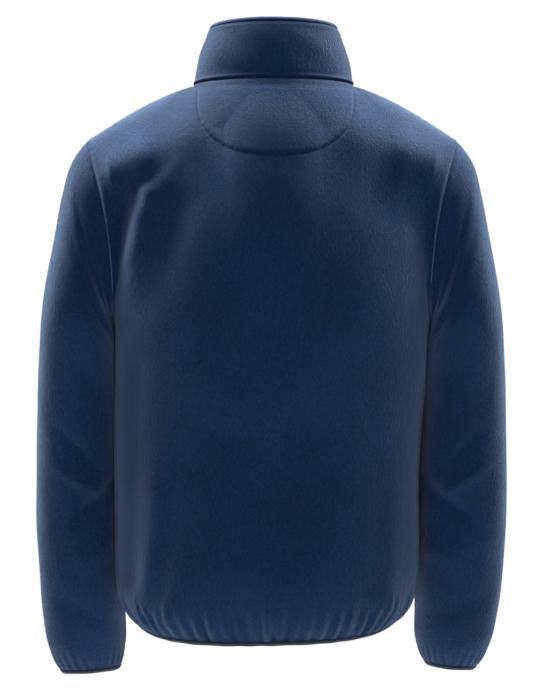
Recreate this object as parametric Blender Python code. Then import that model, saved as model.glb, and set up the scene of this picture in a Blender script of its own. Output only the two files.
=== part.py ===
"""Fleece zip jacket in its worn form, with nobody in it. The front faces -Y, +X is the
wearer's left, +Z is up, and the origin is the base of the neck between the shoulders.

Lengths below are in millimetres. Every panel is a surface P(s, v): s runs across it and
v runs up it, and the wall is that surface with a second one a cloth's thickness inside."""

import math

import bmesh
import bpy
import numpy as np
from mathutils import Matrix, Vector

MM = 0.001
COLLECTION = "fleece_zip_jacket"

CLOTH = 2.0  # wall of the fleece
GAP = 0.3  # between two pieces at a seam
ZIP_EDGE = 6.5  # from the centre front to each front's edge
SQUARE = 0.045  # how far the body's rings swell at 45 degrees

ARMPIT = 300.0  # below the base of the neck
HEM = 677.0  # the fleece's lower edge at the centre back
SIDE_Y = -12.0  # the side seams lie this far in front of the origin
NECK_SHARE = 0.375  # share of a panel's width that ends in the neck seam
SHOULDER_NECK = (99.5, -8.0, 6.0)
SHOULDER_TIP = (233.0, -15.0, -64.0)
SHOULDER_RISE = 6.0  # of the shoulder seam above a straight line
DRAW = {1: 0.18, -1: 0.17}  # how far back (1) and front (-1) narrow between the armholes
CLIMB = {"side": 260.0, "middle": 30.0}  # how long a column keeps on up from the armpit
ARMHOLE = {"back": 56.0, "front": 48.0, "back_hollow": 5.0, "front_hollow": 16.0}
ARMHOLE_EXTRA = 0.15  # more room at the armhole, where the wall turns sharply

# Rings of the body, from above the armpit down to the hem. "back" and "front" are how far
# the centre back and centre front lie from the origin; "lift" raises the ring at its sides.
BODY = (
    ("below", "half", "shift", "back", "front", "lift"),
    (240.0, 199.0, 0.0, 126.0, 142.0, 0.0),
    (300.0, 197.0, 0.5, 123.0, 147.0, 0.0),
    (367.0, 193.0, 3.0, 116.0, 149.0, 0.0),
    (424.0, 190.0, 5.5, 110.0, 150.0, 0.0),
    (480.0, 188.0, 7.0, 108.0, 152.0, 0.0),
    (564.0, 188.0, 6.5, 112.0, 154.0, 1.0),
    (612.0, 187.0, 6.5, 115.0, 153.0, 4.0),
    (643.0, 182.0, 6.5, 111.0, 148.0, 7.0),
    (663.0, 173.0, 6.0, 105.0, 141.0, 10.0),
    (677.0, 163.0, 6.0, 98.0, 133.0, 14.0),
    (684.0, 157.0, 6.0, 95.0, 130.0, 16.0),
)
HEM_TILT = 0.2  # share of "lift" by which the wearer's right side hangs higher

# How a column of each panel arrives at its top edge: the lean and the climb of its last part.
BACK_TOP = (
    ("share", "lean", "climb"),
    (0.0, -170.0, 235.0),
    (0.2, -200.0, 200.0),
    (0.375, -250.0, 90.0),
    (0.55, -250.0, 10.0),
    (1.0, -190.0, -40.0),
)
FRONT_TOP = (
    ("share", "lean", "climb"),
    (0.0, 110.0, 225.0),
    (0.2, 150.0, 200.0),
    (0.375, 220.0, 110.0),
    (0.55, 220.0, 60.0),
    (1.0, 170.0, 50.0),
)

# Folds of the body: soft ridges (height above 0) and troughs along a line from
# (x0, z0) to (x1, z1), each "wide" to where it has sunk to about a third.
BACK_FOLDS = (
    ("x0", "z0", "x1", "z1", "wide", "height"),
    (122.0, -84.0, 150.0, -150.0, 13.0, 10.0),
    (150.0, -150.0, 172.0, -240.0, 13.0, 10.0),
    (148.0, -92.0, 182.0, -150.0, 13.0, -8.0),
    (182.0, -150.0, 190.0, -225.0, 11.0, -8.0),
    (118.0, -130.0, 146.0, -250.0, 14.0, -6.0),
    (-135.0, -105.0, -190.0, -130.0, 17.0, -5.0),
    (-150.0, -75.0, -205.0, -100.0, 14.0, 5.0),
    (128.0, -400.0, 152.0, -620.0, 17.0, 4.5),
    (170.0, -390.0, 178.0, -600.0, 15.0, -4.5),
    (78.0, -380.0, 84.0, -480.0, 24.0, 2.5),
    (98.0, -540.0, 128.0, -660.0, 12.0, 4.0),
    (126.0, -520.0, 148.0, -640.0, 10.0, -3.5),
    (54.0, -540.0, 42.0, -660.0, 13.0, -4.5),
    (2.0, -560.0, 8.0, -660.0, 16.0, 3.0),
    (-20.0, -600.0, -22.0, -665.0, 9.0, -4.0),
    (-48.0, -580.0, -54.0, -665.0, 13.0, 3.0),
    (-118.0, -590.0, -112.0, -665.0, 12.0, -4.0),
    (-150.0, -480.0, -144.0, -630.0, 14.0, 3.0),
)
FRONT_FOLDS = (
    ("x0", "z0", "x1", "z1", "wide", "height"),
    (132.0, -80.0, 164.0, -170.0, 13.0, 7.0),
    (150.0, -76.0, 182.0, -160.0, 11.0, -5.0),
    (-128.0, -84.0, -160.0, -185.0, 14.0, 7.0),
    (-148.0, -80.0, -180.0, -165.0, 11.0, -5.0),
    (70.0, -150.0, 110.0, -290.0, 22.0, 3.5),
    (-76.0, -160.0, -104.0, -310.0, 24.0, 3.0),
    (120.0, -420.0, 140.0, -620.0, 17.0, 4.0),
    (96.0, -450.0, 108.0, -640.0, 14.0, -3.5),
    (-124.0, -400.0, -136.0, -610.0, 17.0, 4.0),
    (-94.0, -470.0, -104.0, -645.0, 14.0, -3.5),
    (52.0, -540.0, 56.0, -655.0, 13.0, 3.5),
    (-48.0, -520.0, -56.0, -655.0, 14.0, 3.5),
)

# Stations of a sleeve, by the distance "along" its outer line from the shoulder tip:
# its outer and inner edge, its middle's y and half its depth. "near" and "far" are how much
# closer to the body the right sleeve's inner and outer edges lie.
SLEEVE = (
    ("along", "outer_x", "outer_z", "inner_x", "inner_z", "near", "far", "y", "deep"),
    (0.0, 233.0, -64.0, 197.0, -300.0, 0.0, 0.0, -15.0, 52.0),
    (35.0, 252.5, -92.0, 202.5, -302.0, 0.0, 0.0, -17.0, 60.0),
    (75.0, 263.5, -130.0, 202.0, -307.0, 0.0, 0.0, -20.0, 66.0),
    (130.0, 273.5, -184.0, 199.0, -316.0, 0.0, 0.0, -24.0, 71.0),
    (190.0, 283.5, -243.0, 194.0, -328.0, 0.0, 1.0, -29.0, 73.0),
    (250.0, 291.0, -304.0, 190.0, -350.0, 1.0, 1.0, -36.0, 71.0),
    (340.0, 297.0, -395.0, 188.0, -409.0, 3.0, 1.0, -43.0, 66.0),
    (430.0, 300.0, -486.0, 187.0, -488.0, 5.0, 1.0, -49.0, 61.0),
    (520.0, 298.5, -577.0, 187.0, -577.0, 6.0, 2.0, -55.0, 57.0),
    (600.0, 292.5, -658.0, 188.0, -656.0, 5.0, 4.0, -60.0, 53.0),
    (645.0, 285.5, -703.0, 188.0, -698.0, 4.0, 7.0, -63.0, 47.0),
    (672.0, 274.5, -728.0, 192.0, -722.0, 0.0, 9.0, -65.0, 37.0),
    (684.0, 267.5, -738.0, 195.5, -732.0, -3.0, 10.0, -66.0, 32.0),
)
CUFF_EDGE = 677.0  # the fleece's lower edge, along the sleeve
SLEEVE_FADE = {"armhole": 70.0, "folds": 45.0, "cuff": 40.0, "body": 60.0}
SIDE_CLEAR = 2.5  # between a sleeve and the body's side
SIDE_SOFT = 5.0  # how gradually a sleeve comes to lie along the body

# Share of a panel, or height, over which its folds fade to a seam, the zip and the hem.
FOLD_FADE = {"seam": 0.12, "zip": 0.15, "hem": 30.0}

# Folds of a sleeve: along its outer line ("at") and round it ("turn", in degrees from the
# outer edge, 90 at the back, negative at the front), "tall" along it, "broad" round it.
# A fold climbs by "slant" mm along the sleeve for each degree round it.
SLEEVE_FOLDS = (
    ("at", "turn", "tall", "broad", "slant", "height"),
    (75.0, 115.0, 14.0, 32.0, 0.6, -5.0),
    (104.0, 105.0, 13.0, 34.0, 0.7, 4.0),
    (150.0, 118.0, 16.0, 30.0, 0.8, -4.0),
    (188.0, 110.0, 17.0, 36.0, 0.6, 3.5),
    (410.0, 112.0, 13.0, 40.0, 0.9, -5.0),
    (434.0, 95.0, 11.0, 40.0, 0.6, 4.0),
    (462.0, 108.0, 13.0, 44.0, -0.7, -5.5),
    (520.0, 120.0, 18.0, 34.0, -0.4, 3.0),
    (590.0, 80.0, 16.0, 46.0, 0.4, -2.5),
    (90.0, -110.0, 15.0, 34.0, -0.6, -5.0),
    (128.0, -105.0, 15.0, 34.0, -0.7, 4.0),
    (400.0, -100.0, 15.0, 42.0, -0.8, -4.0),
    (430.0, -110.0, 13.0, 42.0, -0.6, 4.0),
    (470.0, -104.0, 15.0, 42.0, 0.6, -5.0),
    (560.0, -90.0, 18.0, 48.0, 0.4, 2.5),
)

# Collar: half widths and depths of its seam and of its top edge, about the neck's middle.
NECK_X, NECK_Y = -2.0, -8.0
COLLAR_SEAM = {"half": 99.5, "back": 70.0, "front": 80.0, "drop": 58.0}
COLLAR_TOP = {"half": 80.5, "back": 59.0, "front": 87.0, "drop": 56.0}
SEAM_Z = (6.0, 3.0)  # the neck seam's height at the sides, and how much more at the back
TOP_Z = (76.0, 4.0)  # the collar's outer layer, the same
COLLAR_BULGE = 3.0
BULGE_FADE = 0.8  # radians from the zip over which the bulge fades
FACING = 1.5
FACING_FOOT = 0.07  # share of the collar's height where the facing starts
RIM = {"high": 5.0, "round": 1.2, "flat": 0.8, "cloth": 1.0}  # the facing's roll over the top
FACING_IN = 4.0  # the facing's outer side, measured in from the collar's outer side

# Half moon under the back neck
MOON_DROP = 0.27  # its depth, as a share of the upper back
MOON_TOP = 0.02  # its upper edge lies this share below the neck seam
MOON_WIDE = 0.985  # share of the neck seam
MOON_STEPS = (12, 5)
MOON_CLOTH = 1.3
MOON_IN = 3.9  # its outer side, measured in from the back's outer side

# Gathers above the hem: one wave for two fine columns
WAVE = {"deep": 1.7, "tall": 46.0, "lean": 0.6}

BINDING = {"tall": 7.0, "thick": 3.4}

# The zip: "in" is measured in from the cloth's outer side, and y below grows that way.
TAPE = {"in": 2.5, "thick": 0.9, "inner": 3.0, "outer": 14.5, "foot": 1.5, "top": 0.6}
CHAIN = {"in": 1.3, "thick": 2.6, "half": 2.6, "to_slider": 6.5}
SLIDER_BELOW_TOP = 17.0  # the slider's lower end, below the collar's outer layer
SLIDER = {"half": 4.3, "long": 11.0, "front": -0.9, "back": 5.7}
SLIDER_CHANNEL = {"half": 3.1, "long": 7.6, "front": 0.4, "back": 4.5}
SLIDER_SLIT = {"inner": 1.6, "front": 1.9, "back": 4.0}
LUG = {"half": 0.8, "long": 6.4, "high": 3.3, "hole_long": 3.2, "hole_high": 2.1}
TAB = {"half": 2.8, "arm": 1.3, "bar": 0.6, "window": 4.3, "long": 27.0, "thick": 1.4}
TAB_EYE = {"half": 1.5, "low": 2.4, "high": 5.4}  # heights above the tab's lower end
BAR_AHEAD = 1.15  # from the slider's front to the tab's bar
BOX = {"half": 4.5, "front": 0.6, "back": 4.4, "low": -6.6, "high": 7.0}
BOX_SLOT = {"inner": 2.7, "front": 2.2, "back": 3.8, "low": -0.3}
BOX_CHANNEL = {"half": 2.9, "front": 1.0, "back": 4.2, "low": 2.0}
STOP = {"inner": 3.3, "outer": 5.2, "front": 0.9, "back": 2.2, "low": 12.0, "high": 15.0}
BEYOND = 1.0  # how far a cutter reaches past what it cuts

HALF_COLUMNS = 16  # across half the back, or across one front
UPPER_ROWS = 11
LOWER_ROWS = 11
FINE_ROWS = (0.0, 10.0, 24.0, 42.0)  # heights above the hem edge
SLEEVE_ROWS = 22
COLLAR_ROWS = 4
COLLAR_STEPS = 12  # from the centre back to the zip
STEP = 0.002  # for slopes, in s and v
AT_ZIP = 1e-9  # s on a front's zip edge, kept to its own side of the middle


# ---- reading the tables ----


def column(table, name):
    at = table[0].index(name)
    return np.array([row[at] for row in table[1:]])


def hermite(start, leave, end, arrive, t):
    """Cubic from start to end that leaves and arrives along the two given vectors."""
    return (
        (2 * t**3 - 3 * t**2 + 1) * start
        + (t**3 - 2 * t**2 + t) * leave
        + (3 * t**2 - 2 * t**3) * end
        + (t**3 - t**2) * arrive
    )


def read(table, name, at):
    """A smooth curve through one column, read at places along the table's first column."""
    knots, values = column(table, table[0][0]), column(table, name)
    slope = np.gradient(values, knots)
    i = np.clip(np.searchsorted(knots, at, side="right") - 1, 0, len(knots) - 2)
    width = knots[i + 1] - knots[i]
    t = (np.clip(at, knots[0], knots[-1]) - knots[i]) / width
    return hermite(values[i], slope[i] * width, values[i + 1], slope[i + 1] * width, t)


def swell(angle):
    return 1 + SQUARE * np.sin(2 * angle) ** 2


# ---- the body ----


def ring(below, s, face):
    """The body's ring at a depth below the neck: s is 0 at the centre back or front and
    1 or -1 at the side seams; face is 1 on the back and -1 on the front."""
    angle = s * math.pi / 2
    side = np.sign(angle) if face < 0 else 0
    half, shift = read(BODY, "half", below), read(BODY, "shift", below)
    deep = read(BODY, "back", below) - SIDE_Y if face > 0 else read(BODY, "front", below) + SIDE_Y
    lift = read(BODY, "lift", below)
    edge = ZIP_EDGE * side
    x = shift + edge + (half * np.sin(angle) - edge * np.abs(np.sin(angle))) * swell(angle)
    y = SIDE_Y + face * deep * np.cos(angle) * swell(angle)
    z = -below + lift * (np.abs(np.sin(angle)) ** 4 - HEM_TILT * np.sin(angle))
    return np.stack([x, y, z], -1)


def neck_seam(turn):
    """The collar's seam: turn is 0 at the centre back, 90 degrees at the side, 180 in front."""
    return neck_ring(turn, COLLAR_SEAM, SEAM_Z)


def neck_ring(turn, size, height):
    forward = np.maximum(-np.cos(turn), 0)
    backward = np.maximum(np.cos(turn), 0)
    edge = ZIP_EDGE * np.sign(turn) * (np.cos(turn) < 0) * forward**2
    x = edge + (size["half"] - np.abs(edge)) * np.sin(turn)
    x = NECK_X + np.where(np.abs(turn) > math.pi - 1e-6, ZIP_EDGE * np.sign(turn), x)
    y = NECK_Y + size["back"] * backward - size["front"] * forward
    z = height[0] + height[1] * backward - size["drop"] * forward**1.5
    return np.stack([x, y, z], -1)


def shoulder_seam(share, side):
    """Straight from the neck to the shoulder tip but for a slight rise in the middle."""
    start, end = np.array(SHOULDER_NECK), np.array(SHOULDER_TIP)
    p = start + (end - start) * share[..., None]
    p[..., 2] += SHOULDER_RISE * np.sin(math.pi * share**0.8)
    p[..., 0] = p[..., 0] * side + NECK_X * (1 - share)
    return p


def top_edge(s, face):
    """The top of a column: on the neck seam, then on the shoulder seam."""
    size, side = np.abs(s), np.where(s < 0, -1.0, 1.0)
    turn = math.pi / 2 * np.minimum(size / NECK_SHARE, 1)
    turn = turn * side if face > 0 else (math.pi - turn) * side
    share = np.clip((size - NECK_SHARE) / (1 - NECK_SHARE), 0, 1)
    on_neck = (size <= NECK_SHARE)[..., None]
    return np.where(on_neck, neck_seam(turn), shoulder_seam(share, side))


def armhole(turn, side):
    """The armhole: turn is 0 at the shoulder tip, 90 degrees at the back, 180 under the arm
    and negative in front."""
    low = ring(np.array(ARMPIT), np.array(side), 1)
    high = np.array(SHOULDER_TIP) * (side, 1, 1)
    middle, reach = (high + low) / 2, (high - low) / 2
    behind = np.sin(turn) > 0
    deep = np.where(behind, ARMHOLE["back"], ARMHOLE["front"])
    hollow = np.where(behind, ARMHOLE["back_hollow"], ARMHOLE["front_hollow"]) * np.sin(turn) ** 2
    p = middle + reach * np.cos(turn)[..., None]
    p[..., 1] += deep * np.sin(turn) * swell(turn)
    p[..., 0] -= side * hollow
    return p


def climb(s, v, face):
    """A column of a panel from the armpit's ring, which it leaves upwards, to the top edge,
    where it arrives with the lean and climb of its share."""
    top = BACK_TOP if face > 0 else FRONT_TOP
    size = np.abs(s)
    low, high = ring(ARMPIT + 1 + 0 * s, s, face), ring(ARMPIT - 1 + 0 * s, s, face)
    leave = (high - low) / 2 * (CLIMB["side"] + CLIMB["middle"] * (1 - size))[..., None]
    arrive = np.stack([0 * s, read(top, "lean", size), read(top, "climb", size)], -1)
    return hermite((high + low) / 2, leave, top_edge(s, face), arrive, v[..., None])


def upper(s, v, face):
    """Above the armpit the columns draw together between the armholes, and near its sides
    the panel is pulled to the armhole's curve."""
    size, side = np.abs(s), np.where(s < 0, -1.0, 1.0)
    drawn = DRAW[face] * np.sin(math.pi * v)
    p = climb(s * (1 - drawn * size**2), v, face)
    edge = climb(side * (1 - drawn), v, face)
    turn = math.pi * (1 - v) * face
    hole = np.where((s < 0)[..., None], armhole(turn, -1.0), armhole(turn, 1.0))
    return p + (hole - edge) * (size**4)[..., None]


def folds(table, x, z):
    """The table's highest ridge and deepest trough at a place, added: each falls off with
    the distance from its line, as a bell curve."""
    ridge, trough = 0 * x, 0 * x
    for x0, z0, x1, z1, wide, height in table[1:]:
        run = (x1 - x0) ** 2 + (z1 - z0) ** 2
        t = np.clip(((x - x0) * (x1 - x0) + (z - z0) * (z1 - z0)) / run, 0, 1)
        away = np.hypot(x - x0 - t * (x1 - x0), z - z0 - t * (z1 - z0))
        bell = height * np.exp(-((away / wide) ** 2))
        ridge, trough = np.maximum(ridge, bell), np.minimum(trough, bell)
    return ridge + trough


def facing_out(surface, s, v):
    """The surface's outward normal, from small steps along s and v."""
    across = surface(np.minimum(s + STEP, 1), v) - surface(np.maximum(s - STEP, -1), v)
    up = surface(s, np.minimum(v + STEP, 1)) - surface(s, np.maximum(v - STEP, -1))
    out = np.cross(up, across)
    return out / np.linalg.norm(out, axis=-1, keepdims=True)


def bare_panel(s, v, face):
    below = ARMPIT + (HEM - ARMPIT) * np.clip(-v, 0, 1)
    return np.where((v > 0)[..., None], upper(s, np.maximum(v, 0), face), ring(below, s, face))


def body(face):
    """The finished surface of the back (face 1) or of both fronts (face -1): v is -1 at the
    hem, 0 at the armpit's ring and 1 at the top edge."""
    table = BACK_FOLDS if face > 0 else FRONT_FOLDS

    def bare(s, v):
        return bare_panel(s, v, face)

    def finished(s, v):
        p = bare(s, v)
        out = facing_out(bare, s, v) * face
        up = (HEM - ARMPIT) * (v + 1)
        by_seam = np.clip((1 - np.abs(s)) / FOLD_FADE["seam"], 0, 1)
        by_top = np.clip((1 - v) / FOLD_FADE["seam"], 0, 1)
        by_hem = np.clip(up / FOLD_FADE["hem"], 0, 1)
        by_zip = np.clip(np.abs(s) / FOLD_FADE["zip"], 0, 1) ** 2 if face < 0 else 1
        wave = np.cos(2 * math.pi * HALF_COLUMNS * s)
        tall = np.sin(math.pi * np.clip(up / WAVE["tall"], 0, 1) ** WAVE["lean"])
        height = folds(table, p[..., 0], p[..., 2]) * by_seam * by_top * by_hem
        return p + out * ((height + WAVE["deep"] * wave * tall) * by_zip)[..., None]

    return finished


# ---- the sleeves ----


def sleeve(side):
    """Rings between the outer and inner line of the arm: s is the turn round it in half
    turns, v is 0 at the armhole and 1 at the cuff's lower edge."""

    def finished(s, v):
        along = v * column(SLEEVE, "along")[-1]
        turn = s * math.pi
        near = 0 if side > 0 else read(SLEEVE, "near", along)
        far = 0 if side > 0 else read(SLEEVE, "far", along)
        inner_z, outer_z = read(SLEEVE, "inner_z", along), read(SLEEVE, "outer_z", along)
        inner = np.stack([read(SLEEVE, "inner_x", along) - near, 0 * along, inner_z + far / 2], -1)
        outer = np.stack([read(SLEEVE, "outer_x", along) - far, 0 * along, outer_z + far / 2], -1)
        first = np.clip(1 - along / SLEEVE_FADE["armhole"], 0, 1) ** 2
        height = 0 * along
        for at, place, tall, broad, slant, high in SLEEVE_FOLDS[1:]:
            off = np.degrees(turn) - place
            rise = (along - at - slant * off) / tall
            height = height + high * np.exp(-(rise**2) - (off / broad) ** 2)
        height = height * np.clip(along / SLEEVE_FADE["folds"], 0, 1)
        height = height * np.clip((CUFF_EDGE - along) / SLEEVE_FADE["cuff"], 0, 1)
        out = (outer - inner) / np.linalg.norm(outer - inner, axis=-1, keepdims=True)
        deep = read(SLEEVE, "deep", along) + height
        reach = (outer - inner) / 2 + out * height[..., None]
        p = (outer + inner) / 2 + reach * (np.cos(turn) * swell(turn))[..., None]
        p[..., 1] = read(SLEEVE, "y", along) + deep * np.sin(turn) * swell(turn)
        away = beside_body(p[..., 0], p[..., 1], p[..., 2], side) - p[..., 0]
        p[..., 0] += away * np.clip(along / SLEEVE_FADE["body"], 0, 1)
        p = p * (side, 1, 1)
        hole = armhole(turn, float(side))
        start = start_ring(turn, side)
        return p + (hole - start) * first[..., None]

    return finished


def beside_body(x, y, z, side):
    """The larger of x and the body's own half width there, gently rounded between the two,
    so that a sleeve's inner side lies along the body."""
    below = np.clip(-z, ARMPIT, HEM)
    back, front = read(BODY, "back", below) - SIDE_Y, read(BODY, "front", below) + SIDE_Y
    deep = np.where(y > SIDE_Y, back, front)
    angle = np.arccos(np.clip(np.abs(y - SIDE_Y) / deep, 0, 1))
    width = read(BODY, "half", below) * np.sin(angle) * swell(angle)
    width = width + side * read(BODY, "shift", below) + SIDE_CLEAR
    return (x + width + np.sqrt((x - width) ** 2 + SIDE_SOFT**2) - SIDE_SOFT * 0.25) / 2


def start_ring(turn, side):
    """The plain first ring of the sleeve's table, which the armhole's own curve replaces."""
    outer = np.array([column(SLEEVE, "outer_x")[0], 0, column(SLEEVE, "outer_z")[0]])
    inner = np.array([column(SLEEVE, "inner_x")[0], 0, column(SLEEVE, "inner_z")[0]])
    reach = np.cos(turn) * swell(turn)
    p = (outer + inner) / 2 + (outer - inner) / 2 * reach[..., None]
    p[..., 1] = column(SLEEVE, "y")[0] + column(SLEEVE, "deep")[0] * np.sin(turn) * swell(turn)
    return p * (side, 1, 1)


# ---- the collar ----


def collar(turn, h):
    """From the neck seam (h 0) to the top edge (h 1), with a slight bulge between."""
    low = neck_seam(turn)
    high = neck_ring(turn, COLLAR_TOP, TOP_Z)
    out = np.stack([np.sin(turn), np.cos(turn), 0 * turn], -1)
    by_zip = np.clip((math.pi - np.abs(turn)) / BULGE_FADE, 0, 1)
    bulge = COLLAR_BULGE * 4 * h * (1 - h) * by_zip
    return low + (high - low) * h[..., None] + out * bulge[..., None]


def collar_out(turn):
    """Outward across the collar, level with the ground and square to its ring."""
    size = {key: (COLLAR_SEAM[key] + COLLAR_TOP[key]) / 2 for key in COLLAR_SEAM}
    limit = math.pi - 1e-5
    before = neck_ring(np.clip(turn - STEP, -limit, limit), size, (0, 0))
    after = neck_ring(np.clip(turn + STEP, -limit, limit), size, (0, 0))
    run = after - before
    return unit(np.stack([-run[..., 1], run[..., 0], 0 * turn], -1))


# ---- meshes ----


def unit(v):
    return v / np.linalg.norm(v, axis=-1, keepdims=True)


def draw_in(rows, amount, first=True, last=True):
    """Moves the first and last row of a wall's side towards the rows beside them."""
    rows = [row.copy() for row in rows]
    for here, there, wanted in ((0, 1, first), (-1, -2, last)):
        if wanted:
            inner = rows[there]
            if len(inner) != len(rows[here]):
                inner = inner[:: (len(inner) - 1) // (len(rows[here]) - 1)]
            rows[here] += unit(inner - rows[here]) * amount
    return rows


def draw_in_ends(rows, amount, first=True, last=True):
    """Moves both ends of each row towards the point beside them."""
    rows = [row.copy() for row in rows]
    for row in rows:
        start, end = unit(row[1] - row[0]), unit(row[-2] - row[-1])
        if first:
            row[0] += start * amount
        if last:
            row[-1] += end * amount
    return rows


def add_object(name, verts, faces, material):
    mesh = bpy.data.meshes.new(name)
    mesh.from_pydata((np.array(verts) * MM).tolist(), [], faces)
    mesh.update()
    bm = bmesh.new()
    bm.from_mesh(mesh)
    bmesh.ops.recalc_face_normals(bm, faces=bm.faces)
    if bm.calc_volume(signed=True) < 0:
        bmesh.ops.reverse_faces(bm, faces=bm.faces)
    bm.to_mesh(mesh)
    bm.free()
    obj = bpy.data.objects.new(name, mesh)
    bpy.data.collections[COLLECTION].objects.link(obj)
    mesh.materials.append(material)
    mesh.shade_smooth()
    mesh.set_sharp_from_angle(angle=math.radians(50))
    return obj


def side_faces(starts, sizes, closed):
    """Faces between rows of points. A row with twice the steps of the next gives three
    triangles for each of the next row's steps."""
    faces = []
    for a, b, m, n in zip(starts, starts[1:], sizes, sizes[1:]):
        if m == n:
            count = n if closed else n - 1
            for i in range(count):
                j = (i + 1) % n
                faces.append((a + i, a + j, b + j, b + i))
        else:
            for i in range(n - 1):
                start, middle, end = (a + 2 * i + k for k in range(3))
                faces.append((start, middle, b + i))
                faces.append((middle, b + i + 1, b + i))
                faces.append((middle, end, b + i + 1))
    return faces


def rim_faces(outer, inner, sizes, closed):
    """The narrow faces that join the two sides of a wall along its edges."""
    faces = []
    for row in (0, -1):
        count = sizes[row] if closed else sizes[row] - 1
        for i in range(count):
            j = (i + 1) % sizes[row]
            a, b = outer[row], inner[row]
            faces.append((a + i, a + j, b + j, b + i))
    if not closed:
        for r in range(len(sizes) - 1):
            for end in (0, 1):
                e0, e1 = end * (sizes[r] - 1), end * (sizes[r + 1] - 1)
                faces.append((outer[r] + e0, outer[r + 1] + e1, inner[r + 1] + e1, inner[r] + e0))
    return faces


def wall(name, outer, inner, material, closed=False):
    """A closed wall between two sides, each a list of rows of points."""
    sizes = [len(row) for row in outer]
    starts = np.concatenate([[0], np.cumsum(sizes)])
    total = int(starts[-1])
    starts = [int(n) for n in starts[:-1]]
    inside = [n + total for n in starts]
    faces = side_faces(starts, sizes, closed)
    faces += [tuple(reversed(f)) for f in side_faces(inside, sizes, closed)]
    faces += rim_faces(starts, inside, sizes, closed)
    return add_object(name, np.concatenate(list(outer) + list(inner)), faces, material)


def sweep(name, sections, material, closed=False):
    """A solid bar through like sections, each an array of its corner points."""
    count, corners = len(sections), len(sections[0])
    faces = []
    for a in range(count if closed else count - 1):
        b = (a + 1) % count
        for i in range(corners):
            j = (i + 1) % corners
            faces.append(tuple(k * corners + c for k, c in ((a, i), (a, j), (b, j), (b, i))))
    if not closed:
        faces.append(tuple(range(corners)))
        faces.append(tuple((count - 1) * corners + i for i in range(corners)))
    return add_object(name, np.concatenate(sections), faces, material)


# ---- panels ----


def panel_rows(first, last):
    """(s, v) rows of a body panel from the hem up: the rows near the hem have twice the
    columns, for its gathers."""
    steps = int(round((last - first) * HALF_COLUMNS))
    coarse = np.linspace(first, last, steps + 1)
    fine = np.linspace(first, last, 2 * steps + 1)
    heights = np.array(FINE_ROWS) / (HEM - ARMPIT) - 1
    lower = np.linspace(heights[-1], 0, LOWER_ROWS)[1:]
    higher = np.linspace(0, 1, UPPER_ROWS + 1)[1:]
    rows = [(fine, v + 0 * fine) for v in heights[:-1]]
    rows += [(coarse, v + 0 * coarse) for v in (heights[-1], *lower, *higher)]
    return rows


def seam_normals(s, v, out, face):
    """At a seam both pieces share one wall direction, so that their rims lie face to face."""
    side = np.where(s < 0, -1.0, 1.0)
    at_side = np.abs(s) > 1 - 1e-9
    out = np.where((at_side & (v < -1e-9))[..., None], unit(out * (1, 0, 1)), out)
    on_top = v > 1 - 1e-9
    ridge = unit(np.stack([0.47 * side, -0.1 + 0 * s, 0.88 + 0 * s], -1))
    out = np.where((on_top & (np.abs(s) > NECK_SHARE))[..., None], ridge, out)
    turn = math.pi / 2 * np.minimum(np.abs(s) / NECK_SHARE, 1)
    turn = turn if face > 0 else math.pi - turn
    on_neck = on_top & (np.abs(s) < NECK_SHARE + 1e-9)
    out = np.where(on_neck[..., None], neck_normal(turn * side), out)
    hole = armhole_normal(math.pi * (1 - v) * face, side)
    return np.where((at_side & (v > -1e-9))[..., None], hole, out)


def neck_normal(turn):
    return unit(np.stack([0.9 * np.sin(turn), 0.9 * np.cos(turn), 0.5 + 0 * turn], -1))


def armhole_normal(turn, side):
    return unit(np.stack([0.3 * side + 0 * turn, np.sin(turn), np.cos(turn)], -1))


def body_panel(name, face, first, last, material):
    surface = body(face)
    outer, inner = [], []
    for s, v in panel_rows(first, last):
        p = surface(s, v)
        out = seam_normals(s, v, facing_out(surface, s, v) * face, face)
        outer.append(p)
        inner.append(p - out * CLOTH)
    for rows in (outer, inner):
        rows[0][1::2] = (rows[0][:-1:2] + rows[0][2::2]) / 2
    sides = [draw_in(rows, GAP / 2) for rows in (outer, inner)]
    seams = [abs(s) == 1 for s in (first, last)]
    sides = [draw_in_ends(rows, GAP / 2, *seams) for rows in sides]
    return wall(name, *sides, material)


def sleeve_turns():
    """The places round the armhole, which the back's and front's edges share: 0 to 1 down
    the back, then -1 to 0 up the front."""
    half = np.linspace(0, 1, UPPER_ROWS + 1)
    return np.concatenate([half, half[1:-1] - 1])


def sleeve_normals(surface, turns, v, side):
    """Outward across the sleeve, and down along it, at the places of one ring."""
    v = v + 0 * turns
    across = surface(turns + STEP, v) - surface(turns - STEP, v)
    down = surface(turns, v) - surface(turns, np.maximum(v - STEP, 0))
    if v[0] == 0:
        return armhole_normal(turns * math.pi, float(side)), down
    return unit(np.cross(across, down)) * -side, unit(down)


def sleeve_panel(name, side, material):
    surface = sleeve(side)
    turns = sleeve_turns()
    last = CUFF_EDGE / column(SLEEVE, "along")[-1]
    outer, inner = [], []
    for v in np.linspace(0, 1, SLEEVE_ROWS + 1) * last:
        p = surface(turns, v + 0 * turns)
        outer.append(p)
        inner.append(p - sleeve_normals(surface, turns, v, side)[0] * CLOTH)
    sides = [draw_in(rows, GAP / 2) for rows in (outer, inner)]
    sides = [draw_in(rows, ARMHOLE_EXTRA, last=False) for rows in sides]
    return wall(name, *sides, material, closed=True)


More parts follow.
